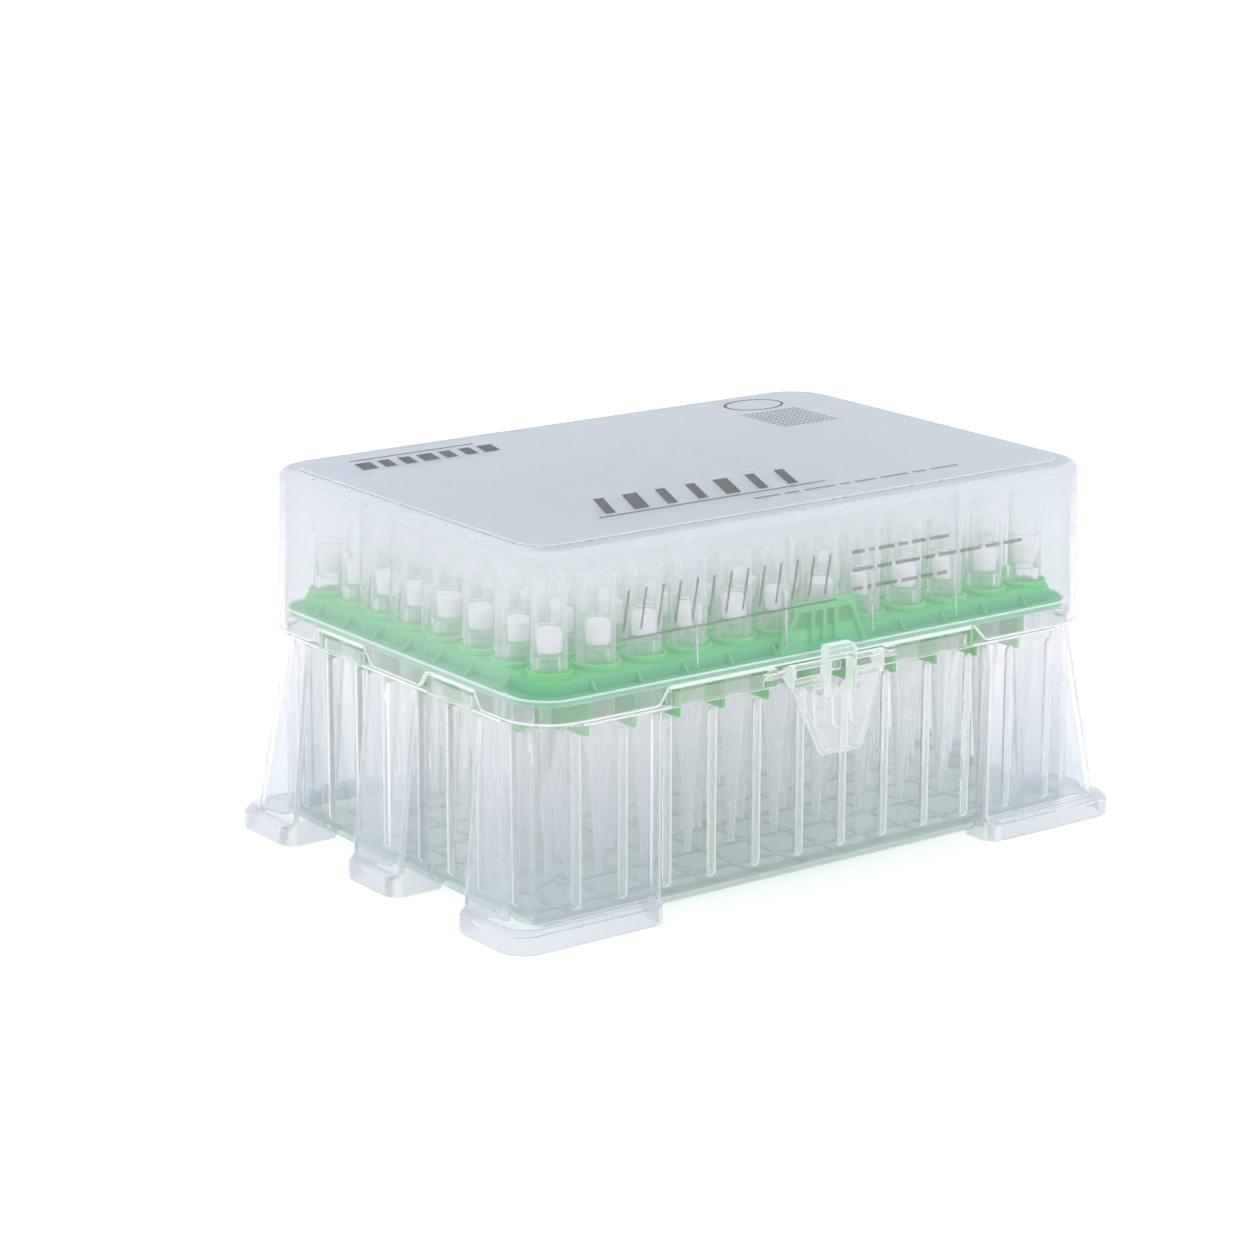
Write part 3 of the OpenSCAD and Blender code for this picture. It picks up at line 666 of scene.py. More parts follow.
def build_deck(materials):
    o = stack([(SEAT_Z, DECK_X + 0.05, DECK_Y + 0.05, 4.55), (DECK_TOP - 0.95, DECK_X - 0.05, DECK_Y - 0.05, 4.5),
               (DECK_TOP - 0.62, DECK_X - 0.12, DECK_Y - 0.12, 4.43), (DECK_TOP - 0.34, DECK_X - 0.3, DECK_Y - 0.3, 4.25),
               (DECK_TOP - 0.12, DECK_X - 0.58, DECK_Y - 0.58, 3.97), (DECK_TOP - 0.02, DECK_X - 0.92, DECK_Y - 0.92, 3.63), (DECK_TOP, DECK_X - 1.2, DECK_Y - 1.2, 3.35)], n=18)
    cut(o, stack([(SEAT_Z - 1, DECK_X - 1.2, DECK_Y - 1.2, 3.3), (DECK_TOP - 1.8, DECK_X - 1.2, DECK_Y - 1.2, 3.3), (DECK_TOP - 1.35, DECK_X - 1.5, DECK_Y - 1.5, 3.0), (DECK_TOP - 1.2, DECK_X - 2.0, DECK_Y - 2.0, 2.5)], n=18))
    flange = slab(RIM_X - 1.1, RIM_Y - 1.1, 5.5, SEAT_Z, SEAT_Z + 1.0, c1=0.2, n=18)
    cut(flange, slab(DECK_X - 0.6, DECK_Y - 0.6, 3.6, SEAT_Z - 1, SEAT_Z + 2, n=18))
    parts = [flange]
    # gussets between the flange and the block
    for k in range(-5, 6):
        for s in (-1, 1):
            g = [(s * (DECK_Y - 0.5), SEAT_Z + 0.6), (s * (DECK_Y + 1.55), SEAT_Z + 0.6), (s * (DECK_Y + 1.55), SEAT_Z + 1.15), (s * (DECK_Y + 0.35), DECK_TOP - 0.75), (s * (DECK_Y - 0.5), DECK_TOP - 0.35)]
            parts.append(prism(g, "x", k * PITCH - 0.25, k * PITCH + 0.25, 0.1))
    for k in range(-3, 4):
        for s in (-1, 1):
            g = [(s * (DECK_X - 0.5), SEAT_Z + 0.6), (s * (DECK_X + 1.85), SEAT_Z + 0.6), (s * (DECK_X + 1.85), SEAT_Z + 1.15), (s * (DECK_X + 0.35), DECK_TOP - 0.75), (s * (DECK_X - 0.5), DECK_TOP - 0.35)]
            parts.append(prism(g, "y", k * PITCH - 0.25, k * PITCH + 0.25, 0.1))
    union(o, parts)
    # stiffening ribs under the deck, thinner towards their lower edges
    ribs = []
    for k in range(-5, 6):
        ribs.append(prism([(k * PITCH - 0.5, DECK_TOP - 0.8), (k * PITCH - 0.42, 31.45), (k * PITCH - 0.27, 31.25), (k * PITCH + 0.27, 31.25), (k * PITCH + 0.42, 31.45), (k * PITCH + 0.5, DECK_TOP - 0.8)], "y", -34.9, 34.9, 0.12))
    union(o, ribs)
    ribs = []
    for k in range(-3, 4):
        ribs.append(prism([(k * PITCH - 0.5, DECK_TOP - 0.8), (k * PITCH - 0.42, 31.45), (k * PITCH - 0.27, 31.25), (k * PITCH + 0.27, 31.25), (k * PITCH + 0.42, 31.45), (k * PITCH + 0.5, DECK_TOP - 0.8)], "x", -52.9, 52.9, 0.12))
    union(o, ribs)
    cut(o, joined([lathe([(0, 36), (3.3, 36), (3.3, 50), (0, 50)], tip_x(i), tip_y(j), 40) for i in range(COLS) for j in range(ROWS)], "holes"))
    union(o, joined([socket(tip_x(i), tip_y(j)) for i in range(COLS) for j in range(ROWS)], "sockets"))
    # lifting tab
    tab = [prism(rounded([(-9.2, SEAT_Z + 0.6), (9.2, SEAT_Z + 0.6), (6.05, 46.9), (-6.05, 46.9)], [0.2, 0.2, 0.6, 0.6]), "y", -37.7, -36.9, 0.12)]
    bar = prism(rounded([(-6.7, 45.7), (6.7, 45.7), (6.2, 47.2), (-6.2, 47.2)], 0.5), "y", -38.6, -36.9, 0.3)
    tab.append(bar)
    for s in (-1, 1):
        tab.append(prism(rounded([(s * 9.2, SEAT_Z + 1.2), (s * 8.1, SEAT_Z + 1.2), (s * 5.0, 46.2), (s * 6.1, 46.2)], 0.3), "y", -38.5, -37.4, 0.25))
    for x in (-2.4, 0, 2.4):
        tab.append(prism(rounded([(x - 0.4, 40.3), (x + 0.4, 40.3), (x + 0.4, 45.9), (x - 0.4, 45.9)], 0.3), "y", -38.4, -37.4, 0.2))
    tab.append(box(-0.5, 0.5, -37.2, -35.6, SEAT_Z + 0.6, 43.6))
    for t in tab:
        union(o, t)
    o = finish(o, "deck_shell", materials, angle=35)
    # the ridges of the tab, the rounded upper edges and the gussets get their own green, much lighter than the tab's
    # face, as a painted highlight
    for p in o.data.polygons:
        x, y, z = (c / MM for c in p.center)
        if (y < -37.85 and z > SEAT_Z + 1.1) or (DECK_TOP - 0.7 < z < DECK_TOP - 0.08 and 0.2 < p.normal.z < 0.97 and (abs(x) > DECK_X - 1.0 or abs(y) > DECK_Y - 1.0)):
            p.material_index = 1
    return o


# ------------------------------------------------------------------
# Latch
# ------------------------------------------------------------------
def flap_point(u, v, w):
    a = math.radians(84)
    return (u, -42.9 + v * math.cos(a) - w * math.sin(a), 22.7 + v * math.sin(a) + w * math.cos(a))


def flap_solid(poly, w0, w1, c=0.0, c0=True):
    steps = [(w0, 0.0), (w1, 0.0)]
    if c:
        steps = [(w0, c if c0 else 0.0)] + ([(w0 + c * 0.3, c * 0.3), (w0 + c, 0.0)] if c0 else []) + [(w1 - c, 0.0), (w1 - c * 0.3, c * 0.3), (w1, c)]
    return grid([[flap_point(p[0], p[1], w) for p in inset(poly, d)] for w, d in steps])


def build_latch(materials):
    outline = [(-9.6, 13.4), (9.6, 13.4), (9.6, 12.6), (4.2, 0), (-4.2, 0), (-9.6, 12.6)]
    rad = [0.2, 0.2, 1.2, 1.3, 1.3, 1.2]
    flap = flap_solid(rounded(outline[::-1], rad[::-1], 6), 0.0, 0.9, 0.18)
    inner = rounded(inset(outline[::-1], 0.85), [0.8] * 6, 5)
    cut(flap, grid([[flap_point(p[0], p[1], w) for p in inset(inner, d)] for w, d in ((0.62, 0.0), (0.75, -0.05), (1.2, -0.1))]))
    add = []
    # three scalloped finger grips with round lower ends
    for cx in (-3.75, 0.0, 3.75):
        hw = 1.62
        pts = []
        for k in range(13):
            a = math.pi + math.pi * k / 12
            pts.append((cx + hw * math.cos(a), 5.6 + hw * 1.05 * math.sin(a)))
        pts += [(cx + hw * 0.92, 10.8), (cx + hw * 0.6, 11.2), (cx - hw * 0.6, 11.2), (cx - hw * 0.92, 10.8)]
        rows = [(0.5, 0.0), (0.7, 0.0), (0.82, 0.1), (0.88, 0.25), (0.84, 0.45), (0.7, 0.75), (0.66, 1.1)]
        add.append(grid([[flap_point(p[0], p[1], w) for p in inset(pts, d)] for w, d in rows]))
    for z in (34.6, 37.5):
        add.append(prism(rounded([(-42.6, z), (-42.6, z + 0.95), (-41.6, z + 0.95), (-41.6, z)], 0.25), "x", -9.6, 9.6, 0.12))
    for s in (-1, 1):
        ear = rounded([(-42.6, 34.6), (-42.6, 38.45), (-41.6, 38.45), (-40.0, 37.5), (-39.6, 36.7), (-40.0, 35.9), (-41.6, 34.6)], [0.4, 0.5, 0.3, 0.5, 0.5, 0.5, 0.3])
        add.append(prism(ear, "x", min(s * 8.8, s * 9.6), max(s * 8.8, s * 9.6), 0.1))
        add.append(rod("x", min(s * 9.5, s * 12.9), max(s * 9.5, s * 12.9), -LATCH_Y, LATCH_Z, 0.55, 20, 0.08))
    for a in add:
        union(flap, a)
    # hook tower with its window
    tower = prism(rounded([(-3.1, 32.4), (3.1, 32.4), (3.1, 40.0), (2.2, 40.9), (-2.7, 40.9), (-3.1, 40.5)], [0.4, 0.4, 0.25, 0.25, 0.2, 0.2]), "y", -43.5, -41.5, 0.2)
    cut(tower, prism(rounded([(-2.3, 33.2), (2.3, 33.2), (2.3, 38.4), (-2.3, 38.4)], 0.3), "y", -44.2, -40.8))
    cut(flap, prism(rounded([(-2.3, 33.2), (2.3, 33.2), (2.3, 38.4), (-2.3, 38.4)], 0.3), "y", -44.2, -41.4))
    union(flap, tower)
    o = finish(flap, "latch_clip", materials)
    # the flap's narrow sides and the walls of its grips are milkier and whiter than its face, a painted highlight along
    # its outlines
    way = Vector((0, -math.sin(math.radians(84)), math.cos(math.radians(84))))
    for p in o.data.polygons:
        if abs(p.normal.dot(way)) < 0.8:
            p.material_index = 1
    return o


# ------------------------------------------------------------------
# Tips and filters
# ------------------------------------------------------------------
TIP_PROFILE = [
    (2.57, TIP_TOP), (2.49, 57.55), (2.45, 57.3), (2.45, 50.6), (2.42, 50.4), (2.26, 50.2), (2.22, 50.0), (2.22, 44.6), (2.16, 44.45), (1.75, 44.3),
    (1.69, 40.0), (1.62, 32.0), (1.2, 24.5), (0.74, 16.0), (0.28, TIP_END), (0.5, TIP_END), (0.56, 7.3), (1.1, 16.0), (1.62, 24.3), (2.0, 29.8), (2.12, 31.0),
    (2.42, 38.0), (2.5, 41.5), (2.72, 41.52), (2.82, 41.62), (2.85, 41.8), (2.85, 45.2), (2.85, 46.2), (2.85, 55.6), (2.87, 56.3), (2.87, 57.3), (2.83, 57.5), (2.7, 57.66),
]


def tip_ribs(a, k, r, z):
    """Twelve fine ribs round the lower part of a tip's hub."""
    if 25 <= k <= 26:
        s = (a * 12 / (2 * math.pi)) % 1.0
        return 0.11 if s < 0.26 else 0.0
    return 0.0


def build_tips(j, material):
    parts = [lathe(TIP_PROFILE, tip_x(i), tip_y(j), 48, bulge=tip_ribs) for i in range(COLS)]
    o = joined(parts, f"tips_{'abcdefgh'[j]}")
    return finish(o, f"tips_{'abcdefgh'[j]}_clear", [material], angle=28, dissolve=False, weighted=False)


def build_filters(j, material):
    prof = [(0, 45.1), (1.85, 45.1), (2.08, 45.18), (2.17, 45.36), (2.195, 45.6), (2.195, 48.0), (2.16, 48.25), (2.04, 48.42), (1.7, 48.5), (1.0, 48.54), (0, 48.55)]
    o = joined([lathe(prof, tip_x(i), tip_y(j), 32) for i in range(COLS)], f"filters_{'abcdefgh'[j]}")
    return finish(o, f"filters_{'abcdefgh'[j]}_white", [material], angle=40, dissolve=False, weighted=False)


# ------------------------------------------------------------------
# Print: plain strokes, dashes, a ring and a field of dots
# ------------------------------------------------------------------
def plate(polys, place, name, material, thick=0.02):
    """Thin plates from 2-D polygons. place turns (u, v, height above the surface) into a point."""
    parts = []
    for poly in polys:
        n = len(poly)
        verts = [place(u, v, 0.008) for u, v in poly] + [place(u, v, 0.008 + thick) for u, v in poly]
        faces = [tuple(range(n - 1, -1, -1)), tuple(range(n, 2 * n))] + [(i, (i + 1) % n, n + (i + 1) % n, n + i) for i in range(n)]
        parts.append((verts, faces))
    o = joined(parts, name)
    return finish(o, name, [material], dissolve=False, weighted=False)


def stroke(u0, v0, u1, v1, w):
    """Slanted stroke with level ends."""
    return [(u0 - w / 2, v0), (u0 + w / 2, v0), (u1 + w / 2, v1), (u1 - w / 2, v1)]


def on_top(u, v, h):
    return (u, v, TOP_Z - 0.04 + h)


def on_front(u, v, h):
    return (u, -lid_wall_at(v)[1] - h, v)


def ellipse_ring(cx, cy, ax, ay, w, n=48):
    """Ring as short quads."""
    out = []
    for k in range(n):
        a, b = 2 * math.pi * k / n, 2 * math.pi * (k + 1) / n - 0.002
        out.append([(cx + ax * math.cos(a), cy + ay * math.sin(a)), (cx + ax * math.cos(b), cy + ay * math.sin(b)),
                    (cx + (ax - w) * math.cos(b), cy + (ay - w) * math.sin(b)), (cx + (ax - w) * math.cos(a), cy + (ay - w) * math.sin(a))])
    return out


def ring_plate(cx, cy, ax, ay, w, place, n=56):
    verts, faces = [], []
    for k in range(n):
        a = 2 * math.pi * k / n
        c, s = math.cos(a), math.sin(a)
        for f, h in ((0.0, 0.008), (0.0, 0.028), (w, 0.028), (w, 0.008)):
            verts.append(place(cx + (ax - f) * c, cy + (ay - f) * s, h))
    for k in range(n):
        k2 = (k + 1) % n
        for q in range(4):
            q2 = (q + 1) % 4
            faces.append((k * 4 + q, k2 * 4 + q, k2 * 4 + q2, k * 4 + q2))
    return verts, faces


def build_prints(ink, fine_ink):
    out = []
    # back left of the top: a row of leaning blocks over a thin rule
    blocks = [stroke(-45.5 + 4.1 * k, 25.6, -44.3 + 4.1 * k, 30.4, 2.3 if k % 3 else 3.1) for k in range(7)]
    blocks.append(stroke(-33.0, 32.2, -33.0, 32.7, 25.0))
    out.append(plate(blocks, on_top, "print_top_blocks", ink))
    # front middle of the top: bold leaning strokes
    bars = [stroke(-32.0 + 6.2 * k, -23.8, -27.6 + 6.2 * k, -14.2, 3.0 if k in (1, 4) else 2.0) for k in range(7)]
    bars.append(stroke(-12.4, -25.6, -12.4, -25.1, 46.0))
    out.append(plate(bars, on_top, "print_top_strokes", ink))
    # dashes under them
    x, dashes = -7.0, []
    for w in (5.2, 3.0, 6.4, 2.2, 4.4, 5.8, 2.8, 6.0):
        dashes.append([(x, -29.3), (x + w, -29.3), (x + w, -28.5), (x, -28.5)])
        x += w + 1.1
    out.append(plate(dashes, on_top, "print_top_dashes", fine_ink))
    # ring and field of dots at the back right
    o = joined([ring_plate(39.8, 30.6, 6.0, 4.4, 0.5, on_top)], "print_top_ring")
    out.append(finish(o, "print_top_ring", [ink], dissolve=False, weighted=False))
    dots = []
    for i in range(12):
        for j in range(12):
            cx, cy = 32.6 + 1.05 * i, 12.6 + 1.05 * j
            dots.append([(cx - 0.32, cy - 0.32), (cx + 0.32, cy - 0.32), (cx + 0.32, cy + 0.32), (cx - 0.32, cy + 0.32)])
    out.append(plate(dots, on_top, "print_top_dots", fine_ink))
    # front wall: thin leaning strokes, and three lines of dashes
    lines = [stroke(-41.8 + 3.35 * k, 48.8, -40.6 + 3.35 * k, 55.3, 0.45) for k in range(13)]
    lines.append(stroke(-20.6, 47.4, -20.6, 47.75, 43.0))
    out.append(plate(lines, on_front, "print_front_strokes", fine_ink))
    rows = []
    for z, end, ws in ((54.5, 27.0, (2.6, 1.2, 3.4, 2.0, 3.0, 4.2, 2.4)), (51.5, 41.0, (4.4, 3.0, 5.2, 2.4, 3.8, 4.8, 3.2, 4.0)), (48.4, 24.5, (2.2, 1.0, 4.6, 3.4, 2.6, 2.2))):
        x = 4.2
        for w in ws:
            if x + w < end:
                rows.append([(x, z), (x + w, z), (x + w, z + 0.6), (x, z + 0.6)])
                x += w + 0.85
    out.append(plate(rows, on_front, "print_front_dashes", fine_ink))
    return out


# ------------------------------------------------------------------
# Materials
# ------------------------------------------------------------------
def new_tree(name):
    mat = bpy.data.materials.new(name)
    mat.use_nodes = True
    nt = mat.node_tree
    nt.nodes.clear()
    return mat, nt, nt.nodes.new("ShaderNodeOutputMaterial")


def noise_of(nt, scale, detail=3.0, stretch=None):
    tc = nt.nodes.new("ShaderNodeTexCoord")
    src = tc.outputs["Object"]
    if stretch:
        mp = nt.nodes.new("ShaderNodeMapping")
        mp.inputs["Scale"].default_value = stretch
        nt.links.new(src, mp.inputs["Vector"])
        src = mp.outputs["Vector"]
    n = nt.nodes.new("ShaderNodeTexNoise")
    n.inputs["Scale"].default_value = scale
    n.inputs["Detail"].default_value = detail
    nt.links.new(src, n.inputs["Vector"])
    return n.outputs["Fac"]


def ramp_of(nt, fac, stops):
    r = nt.nodes.new("ShaderNodeValToRGB")
    e = r.color_ramp.elements
    e[0].position, e[0].color = stops[0][0], (*stops[0][1], 1)
    e[1].position, e[1].color = stops[-1][0], (*stops[-1][1], 1)
    for p, c in stops[1:-1]:
        n = e.new(p)
        n.color = (*c, 1)
    nt.links.new(fac, r.inputs["Fac"])
    return r.outputs["Color"]


def range_of(nt, fac, lo, hi, a=0.3, b=0.7):
    m = nt.nodes.new("ShaderNodeMapRange")
    m.inputs["From Min"].default_value = a
    m.inputs["From Max"].default_value = b
    m.inputs["To Min"].default_value = lo
    m.inputs["To Max"].default_value = hi
    nt.links.new(fac, m.inputs["Value"])
    return m.outputs["Result"]


def bump_of(nt, height, strength, distance):
    b = nt.nodes.new("ShaderNodeBump")
    b.inputs["Strength"].default_value = strength
    b.inputs["Distance"].default_value = distance
    nt.links.new(height, b.inputs["Height"])
    return b.outputs["Normal"]


def by_height(nt, stops):
    """Colour that changes with height. stops are (height in mm, colour)."""
    tc = nt.nodes.new("ShaderNodeTexCoord")
    sep = nt.nodes.new("ShaderNodeSeparateXYZ")
    nt.links.new(tc.outputs["Object"], sep.inputs[0])
    z0, z1 = stops[0][0], stops[-1][0]
    fac = range_of(nt, sep.outputs["Z"], 0.0, 1.0, z0 * MM, z1 * MM)
    return ramp_of(nt, fac, [((z - z0) / (z1 - z0), c) for z, c in stops])


def maths(nt, op, a, b):
    m = nt.nodes.new("ShaderNodeMath")
    m.operation = op
    for socket, v in ((m.inputs[0], a), (m.inputs[1], b)):
        if isinstance(v, (int, float)):
            socket.default_value = v
        else:
            nt.links.new(v, socket)
    return m.outputs[0]


def blend(nt, how, amount, a, b):
    """Colour a mixed with, or multiplied by, colour b."""
    m = nt.nodes.new("ShaderNodeMix")
    m.data_type = "RGBA"
    m.blend_type = how
    for socket, v in ((m.inputs[0], amount), (m.inputs[6], a), (m.inputs[7], b)):
        if isinstance(v, (int, float)):
            socket.default_value = v
        elif isinstance(v, tuple):
            socket.default_value = (*v, 1)
        else:
            nt.links.new(v, socket)
    return m.outputs[2]


def clear_plastic(name, tint, haze, milk, rough, edge, shadow, rim=None, deep=None, scale=240.0, bump=0.08, flow=True):
    """Clear polypropylene: tinted and refracting, with a milky haze that grows where the surface turns away and the light's way through it gets longer, faint flow marks and an uneven gloss.
    tint and haze list (height in mm, colour), milk (height in mm, share), and rim is the haze's colour where the surface turns away, deep the tint there. Lamps and the light that other surfaces scatter pass straight through."""
    mat, nt, out = new_tree(name)
    n = noise_of(nt, scale)
    marks = noise_of(nt, scale * 0.5, 2.0, (1.0, 1.0, 0.25) if flow else None)
    normal = bump_of(nt, marks, bump, 0.0002)
    glass = nt.nodes.new("ShaderNodeBsdfPrincipled")
    glass.inputs["IOR"].default_value = 1.49
    glass.inputs["Transmission Weight"].default_value = 1.0
    lw = nt.nodes.new("ShaderNodeLayerWeight")
    lw.inputs["Blend"].default_value = 0.5
    turned = maths(nt, "POWER", lw.outputs["Facing"], 2.0)
    through = by_height(nt, tint)
    if deep:
        through = blend(nt, "MIX", turned, through, deep)
    nt.links.new(blend(nt, "MULTIPLY", 1.0, through, ramp_of(nt, n, [(0.3, (0.985, 0.985, 0.985)), (0.7, (1, 1, 1))])), glass.inputs["Base Color"])
    nt.links.new(range_of(nt, n, rough * 0.88, rough * 1.12), glass.inputs["Roughness"])
    nt.links.new(normal, glass.inputs["Normal"])
    fog = nt.nodes.new("ShaderNodeBsdfPrincipled")
    fog.inputs["Roughness"].default_value = 0.6
    fog.inputs["Specular IOR Level"].default_value = 0.1
    nt.links.new(normal, fog.inputs["Normal"])
    colour = by_height(nt, haze)
    if rim:
        colour = blend(nt, "MIX", turned, colour, rim)
    nt.links.new(colour, fog.inputs["Base Color"])
    body = nt.nodes.new("ShaderNodeMixShader")
    if edge or len({k for z, k in milk}) > 1:
        amount = by_height(nt, [(z, (k,) * 3) for z, k in milk])
        nt.links.new(maths(nt, "MINIMUM", maths(nt, "ADD", amount, maths(nt, "MULTIPLY", turned, edge)), 0.95), body.inputs[0])
    else:
        body.inputs[0].default_value = milk[0][1]
    nt.links.new(glass.outputs[0], body.inputs[1])
    nt.links.new(fog.outputs[0], body.inputs[2])
    lp = nt.nodes.new("ShaderNodeLightPath")
    tr = nt.nodes.new("ShaderNodeBsdfTransparent")
    tr.inputs["Color"].default_value = (*shadow, 1)
    mix = nt.nodes.new("ShaderNodeMixShader")
    nt.links.new(maths(nt, "MAXIMUM", lp.outputs["Is Shadow Ray"], lp.outputs["Is Diffuse Ray"]), mix.inputs[0])
    nt.links.new(body.outputs[0], mix.inputs[1])
    nt.links.new(tr.outputs[0], mix.inputs[2])
    nt.links.new(mix.outputs[0], out.inputs[0])
    return mat


def solid_plastic(name, stops, rough, scale, bump, dist, sss=0.0, radius=(1, 1, 1), detail=3.0, spec=0.5, glow=0.0, rise=False):
    mat, nt, out = new_tree(name)
    pr = nt.nodes.new("ShaderNodeBsdfPrincipled")
    pr.inputs["Emission Color"].default_value = (1, 1, 1, 1)
    pr.inputs["Emission Strength"].default_value = glow
    pr.inputs["IOR"].default_value = 1.49
    pr.inputs["Specular IOR Level"].default_value = spec
    if sss:
        pr.inputs["Subsurface Weight"].default_value = sss
        pr.inputs["Subsurface Radius"].default_value = radius
        pr.inputs["Subsurface Scale"].default_value = 0.001
    n = noise_of(nt, scale, detail)
    colour = ramp_of(nt, n, stops) if not rise else by_height(nt, stops)
    if rise:
        colour = blend(nt, "MULTIPLY", 1.0, colour, ramp_of(nt, n, [(0.3, (0.95, 0.95, 0.95)), (0.7, (1.0, 1.0, 1.0))]))
    nt.links.new(colour, pr.inputs["Base Color"])
    nt.links.new(range_of(nt, n, rough * 0.85, rough * 1.15), pr.inputs["Roughness"])
    nt.links.new(bump_of(nt, n, bump, dist), pr.inputs["Normal"])
    nt.links.new(pr.outputs[0], out.inputs[0])
    return mat


def printed_ink(name, dark, light, scale, cover):
    """Ink laid down as fine dots, so some of the plastic shows through."""
    mat, nt, out = new_tree(name)
    pr = nt.nodes.new("ShaderNodeBsdfPrincipled")
    pr.inputs["Roughness"].default_value = 0.55
    n = noise_of(nt, scale, 2.0)
    nt.links.new(ramp_of(nt, n, [(0.35, dark), (0.65, light)]), pr.inputs["Base Color"])
    tr = nt.nodes.new("ShaderNodeBsdfTransparent")
    mix = nt.nodes.new("ShaderNodeMixShader")
    nt.links.new(range_of(nt, noise_of(nt, scale * 1.7, 1.0), cover - 0.25, cover + 0.25, 0.4, 0.6), mix.inputs[0])
    nt.links.new(tr.outputs[0], mix.inputs[1])
    nt.links.new(pr.outputs[0], mix.inputs[2])
    nt.links.new(mix.outputs[0], out.inputs[0])
    return mat


M_LID = clear_plastic("clear_lid", [(35, (0.82, 0.83, 0.865)), (63, (0.81, 0.83, 0.865))], [(35, (0.82, 0.85, 0.87)), (50, (0.82, 0.855, 0.88)), (58, (0.75, 0.78, 0.82)), (63, (0.70, 0.73, 0.78))],
                      [(35, 0.045), (43, 0.035), (48, 0.08), (54, 0.16), (58, 0.25), (61, 0.33), (63, 0.36)], 0.02, 0.42, (0.985, 0.99, 0.99), rim=(0.60, 0.61, 0.68), deep=(0.62, 0.63, 0.71), bump=0.04)
M_TOP = clear_plastic("clear_lid_textured", [(60, (0.575, 0.64, 0.72)), (64, (0.585, 0.65, 0.73))], [(60, (0.54, 0.61, 0.69)), (64, (0.55, 0.62, 0.70))], [(60, 0.3), (64, 0.3)], 0.36, 0.0, (0.97, 0.98, 0.985), scale=420.0, bump=0.04, flow=False)
# painted shade: a dark blue-grey band along the step and ring of the top's raised panel
M_TOP_EDGE_SHADE = clear_plastic("clear_lid_edge_painted_shade", [(60, (0.60, 0.65, 0.73)), (64, (0.42, 0.48, 0.57))], [(60, (0.52, 0.56, 0.65)), (64, (0.36, 0.42, 0.51))], [(60, 0.35), (64, 0.50)], 0.30, 0.1, (0.98, 0.985, 0.99), bump=0.04)
M_TOP_BAND = clear_plastic("clear_lid_rounded", [(60, (0.84, 0.855, 0.895)), (64, (0.82, 0.84, 0.885))], [(60, (0.70, 0.73, 0.78)), (64, (0.66, 0.70, 0.755))], [(60, 0.42), (64, 0.55)], 0.30, 0.0, (0.985, 0.985, 0.99), bump=0.04)
# painted shade: tint and haze darken towards the floor, and the haze is darker low in the walls and lighter towards the
# rim
M_BASE = clear_plastic("clear_base", [(0, (0.76, 0.77, 0.83)), (3.6, (0.77, 0.78, 0.84)), (5, (0.88, 0.90, 0.925)), (20, (0.91, 0.915, 0.935)), (39, (0.935, 0.925, 0.945))],
                       [(0, (0.66, 0.68, 0.75)), (3.6, (0.68, 0.70, 0.77)), (5.5, (0.60, 0.65, 0.70)), (14, (0.68, 0.71, 0.76)), (24, (0.82, 0.82, 0.87)), (39, (0.88, 0.87, 0.91))],
                       [(0, 0.24), (3.6, 0.22), (5, 0.05), (34, 0.05), (39, 0.05)], 0.02, 0.42, (0.985, 0.99, 0.99), rim=(0.80, 0.80, 0.86), bump=0.03)
# painted shade: as on the walls, tint and haze darken towards the floor and the haze is darker low down
M_SKIRT = clear_plastic("clear_base_feet", [(0, (0.75, 0.76, 0.82)), (3.6, (0.77, 0.78, 0.84)), (5, (0.88, 0.905, 0.94)), (18, (0.90, 0.91, 0.945)), (35, (0.945, 0.935, 0.955))],
                        [(0, (0.66, 0.68, 0.75)), (3.6, (0.68, 0.70, 0.77)), (5.5, (0.58, 0.64, 0.69)), (14, (0.68, 0.71, 0.77)), (24, (0.80, 0.80, 0.87)), (35, (0.88, 0.87, 0.92))],
                        [(0, 0.24), (3.6, 0.20), (5, 0.05), (34, 0.06)], 0.02, 0.48, (0.985, 0.99, 0.99), rim=(0.77, 0.77, 0.85), bump=0.03)
M_THICK = clear_plastic("clear_base_flutes", [(0, (0.94, 0.945, 0.955)), (39, (0.95, 0.95, 0.96))], [(0, (0.88, 0.90, 0.93)), (39, (0.91, 0.915, 0.94))], [(0, 0.16), (39, 0.14)], 0.02, 0.95, (0.985, 0.99, 0.99), rim=(0.96, 0.97, 1.0), bump=0.03)
# painted shadow: the floor plate's dark grey-green tint stands in for the shade beneath the box
M_PLATE_SHADOW = clear_plastic("clear_base_floor_painted_shadow", [(0, (0.64, 0.71, 0.71)), (5, (0.62, 0.68, 0.69))], [(0, (0.52, 0.60, 0.62)), (5, (0.52, 0.60, 0.61))], [(0, 0.12), (5, 0.12)], 0.05, 0.1, (0.985, 0.99, 0.99), bump=0.05)
